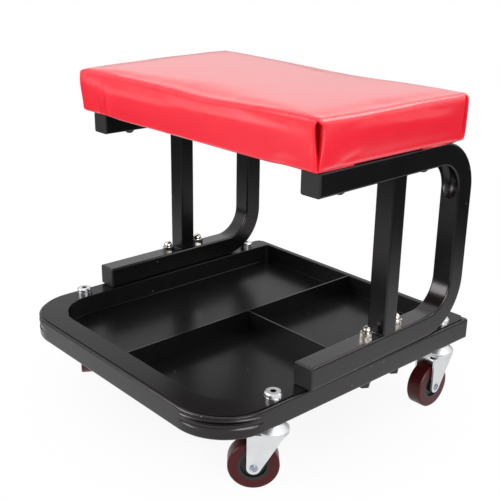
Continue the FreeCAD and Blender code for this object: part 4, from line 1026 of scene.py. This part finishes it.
class SEAT_OT_stage(bpy.types.Operator):
    """Set up floor, soft light and camera"""
    bl_idname = "creeper.stage"
    bl_label = "Set up the studio"

    def execute(self, context):
        studio = context.scene.creeper_studio
        context.scene.view_settings.view_transform = "Standard"
        self.floor(studio)
        self.world(studio)
        for name, width, place in SOFT_BOXES:
            self.lamp(name, getattr(studio, name), width, place)
        self.camera(studio)
        return {"FINISHED"}

    def floor(self, studio):
        """A wide disc that keeps the seat's shadow and is white to the camera further out."""
        ground = bmesh.new()
        bmesh.ops.create_circle(ground, cap_ends=True, segments=96, radius=9.0)
        mesh = bpy.data.meshes.new("floor")
        ground.to_mesh(mesh)
        ground.free()
        floor = bpy.data.objects.new("floor", mesh)
        bpy.context.scene.collection.objects.link(floor)
        finish = Finish("floor_pale")
        camera, mirrored = finish.rays()
        glow = finish.node("ShaderNodeEmission", {}, {"Color": WHITE, "Strength": 1.0})
        away = finish.node("ShaderNodeVectorMath", {"operation": "LENGTH"}, {
            0: finish.place}, "Value")
        seen = finish.between(away, *SHADOW_RING, studio.clear, 1.0)
        shown = finish.between(away, *NEAR_RING, 1.0, 0.0) + finish.between(away, *FAR_RING)
        finish.dress(
            Base_Color=finish.mixed(finish.between(away, *DARK_RING), opaque(studio.floor),
                                    opaque(studio.floor, DARKENED)),
            Roughness=0.9,
            Specular_IOR_Level=0.0)
        surface = finish.node("ShaderNodeMixShader", {}, {
            0: seen * camera + shown * mirrored,
            1: Wire(finish.tree, finish.shader.outputs[0]), 2: glow})
        feed(finish.tree, finish.tree.nodes["Material Output"].inputs["Surface"], surface)
        mesh.materials.append(finish.material)

    def world(self, studio):
        """An even room, white to the camera, and bright with a dim horizon in gloss."""
        world = bpy.data.worlds.new("studio")
        world.use_nodes = True
        bpy.context.scene.world = world
        room = NodeTree(world.node_tree)
        camera, mirrored = room.rays()
        height = room.axes(room.node("ShaderNodeTexCoord", {}, {}, "Generated"))[2]
        reflected = room.node("ShaderNodeMapRange", {}, {
            "Value": height, "From Max": LOW_SKY_TOP, "To Min": LOW_SKY}, "Result")
        unseen = mirrored * reflected + (1.0 - mirrored) * studio.sky
        background = room.tree.nodes["Background"]
        feed(room.tree, background.inputs["Strength"], camera + (1.0 - camera) * unseen)
        feed(room.tree, background.inputs["Color"], WHITE)

    def lamp(self, name, power, width, place):
        """A square soft box that faces the middle of the seat."""
        light = bpy.data.lights.new(name, "AREA")
        light.shape = "SQUARE"
        light.size = width
        light.energy = power
        lamp = bpy.data.objects.new(name, light)
        lamp.location = place
        lamp.rotation_mode = "QUATERNION"
        lamp.rotation_quaternion = (MIDDLE - place).to_track_quat("-Z", "Y")
        bpy.context.scene.collection.objects.link(lamp)

    def camera(self, studio):
        """The camera, turned, tilted and rolled."""
        data = bpy.data.cameras.new("camera")
        data.lens = studio.lens
        data.sensor_width = 36.0
        camera = bpy.data.objects.new("camera", data)
        back = Vector((math.sin(studio.turn) * math.cos(studio.tilt),
                       -math.cos(studio.turn) * math.cos(studio.tilt), math.sin(studio.tilt)))
        right = (-back).cross(Vector((0, 0, 1))).normalized()
        up = right.cross(-back)
        tilted = right * math.cos(studio.roll) + up * math.sin(studio.roll)
        raised = up * math.cos(studio.roll) - right * math.sin(studio.roll)
        turn = Matrix((tilted, raised, back)).transposed().to_4x4()
        camera.matrix_world = Matrix.Translation(Vector(studio.place)) @ turn
        bpy.context.scene.collection.objects.link(camera)
        bpy.context.scene.camera = camera


class SEAT_PT_panel(bpy.types.Panel):
    """Lists the steps that dress the creeper seat"""
    bl_idname = "SEAT_PT_panel"
    bl_label = "Creeper seat"
    bl_space_type = "VIEW_3D"
    bl_region_type = "UI"
    bl_category = "Creeper seat"

    def draw(self, context):
        for step_class in OPERATORS:
            self.layout.operator(step_class.bl_idname)
        for group in (context.scene.creeper_cushion, context.scene.creeper_colours,
                      context.scene.creeper_studio):
            for name in group.__annotations__:
                self.layout.prop(group, name)


OPERATORS = (SEAT_OT_frame_paint, SEAT_OT_hardware, SEAT_OT_plastics, SEAT_OT_board,
             SEAT_OT_cushion, SEAT_OT_folds, SEAT_OT_stage)
GROUPS = (CushionSizes, FinishColours, StudioSizes)


def register():
    for thing in GROUPS + OPERATORS + (SEAT_PT_panel,):
        bpy.utils.register_class(thing)
    bpy.types.Scene.creeper_cushion = PointerProperty(type=CushionSizes)
    bpy.types.Scene.creeper_colours = PointerProperty(type=FinishColours)
    bpy.types.Scene.creeper_studio = PointerProperty(type=StudioSizes)


def unregister():
    del bpy.types.Scene.creeper_studio
    del bpy.types.Scene.creeper_colours
    del bpy.types.Scene.creeper_cushion
    for thing in reversed(GROUPS + OPERATORS + (SEAT_PT_panel,)):
        bpy.utils.unregister_class(thing)


def main():
    register()
    for group, name in (operator.bl_idname.split(".") for operator in OPERATORS):
        getattr(getattr(bpy.ops, group), name)()


if __name__ == "__main__":
    main()
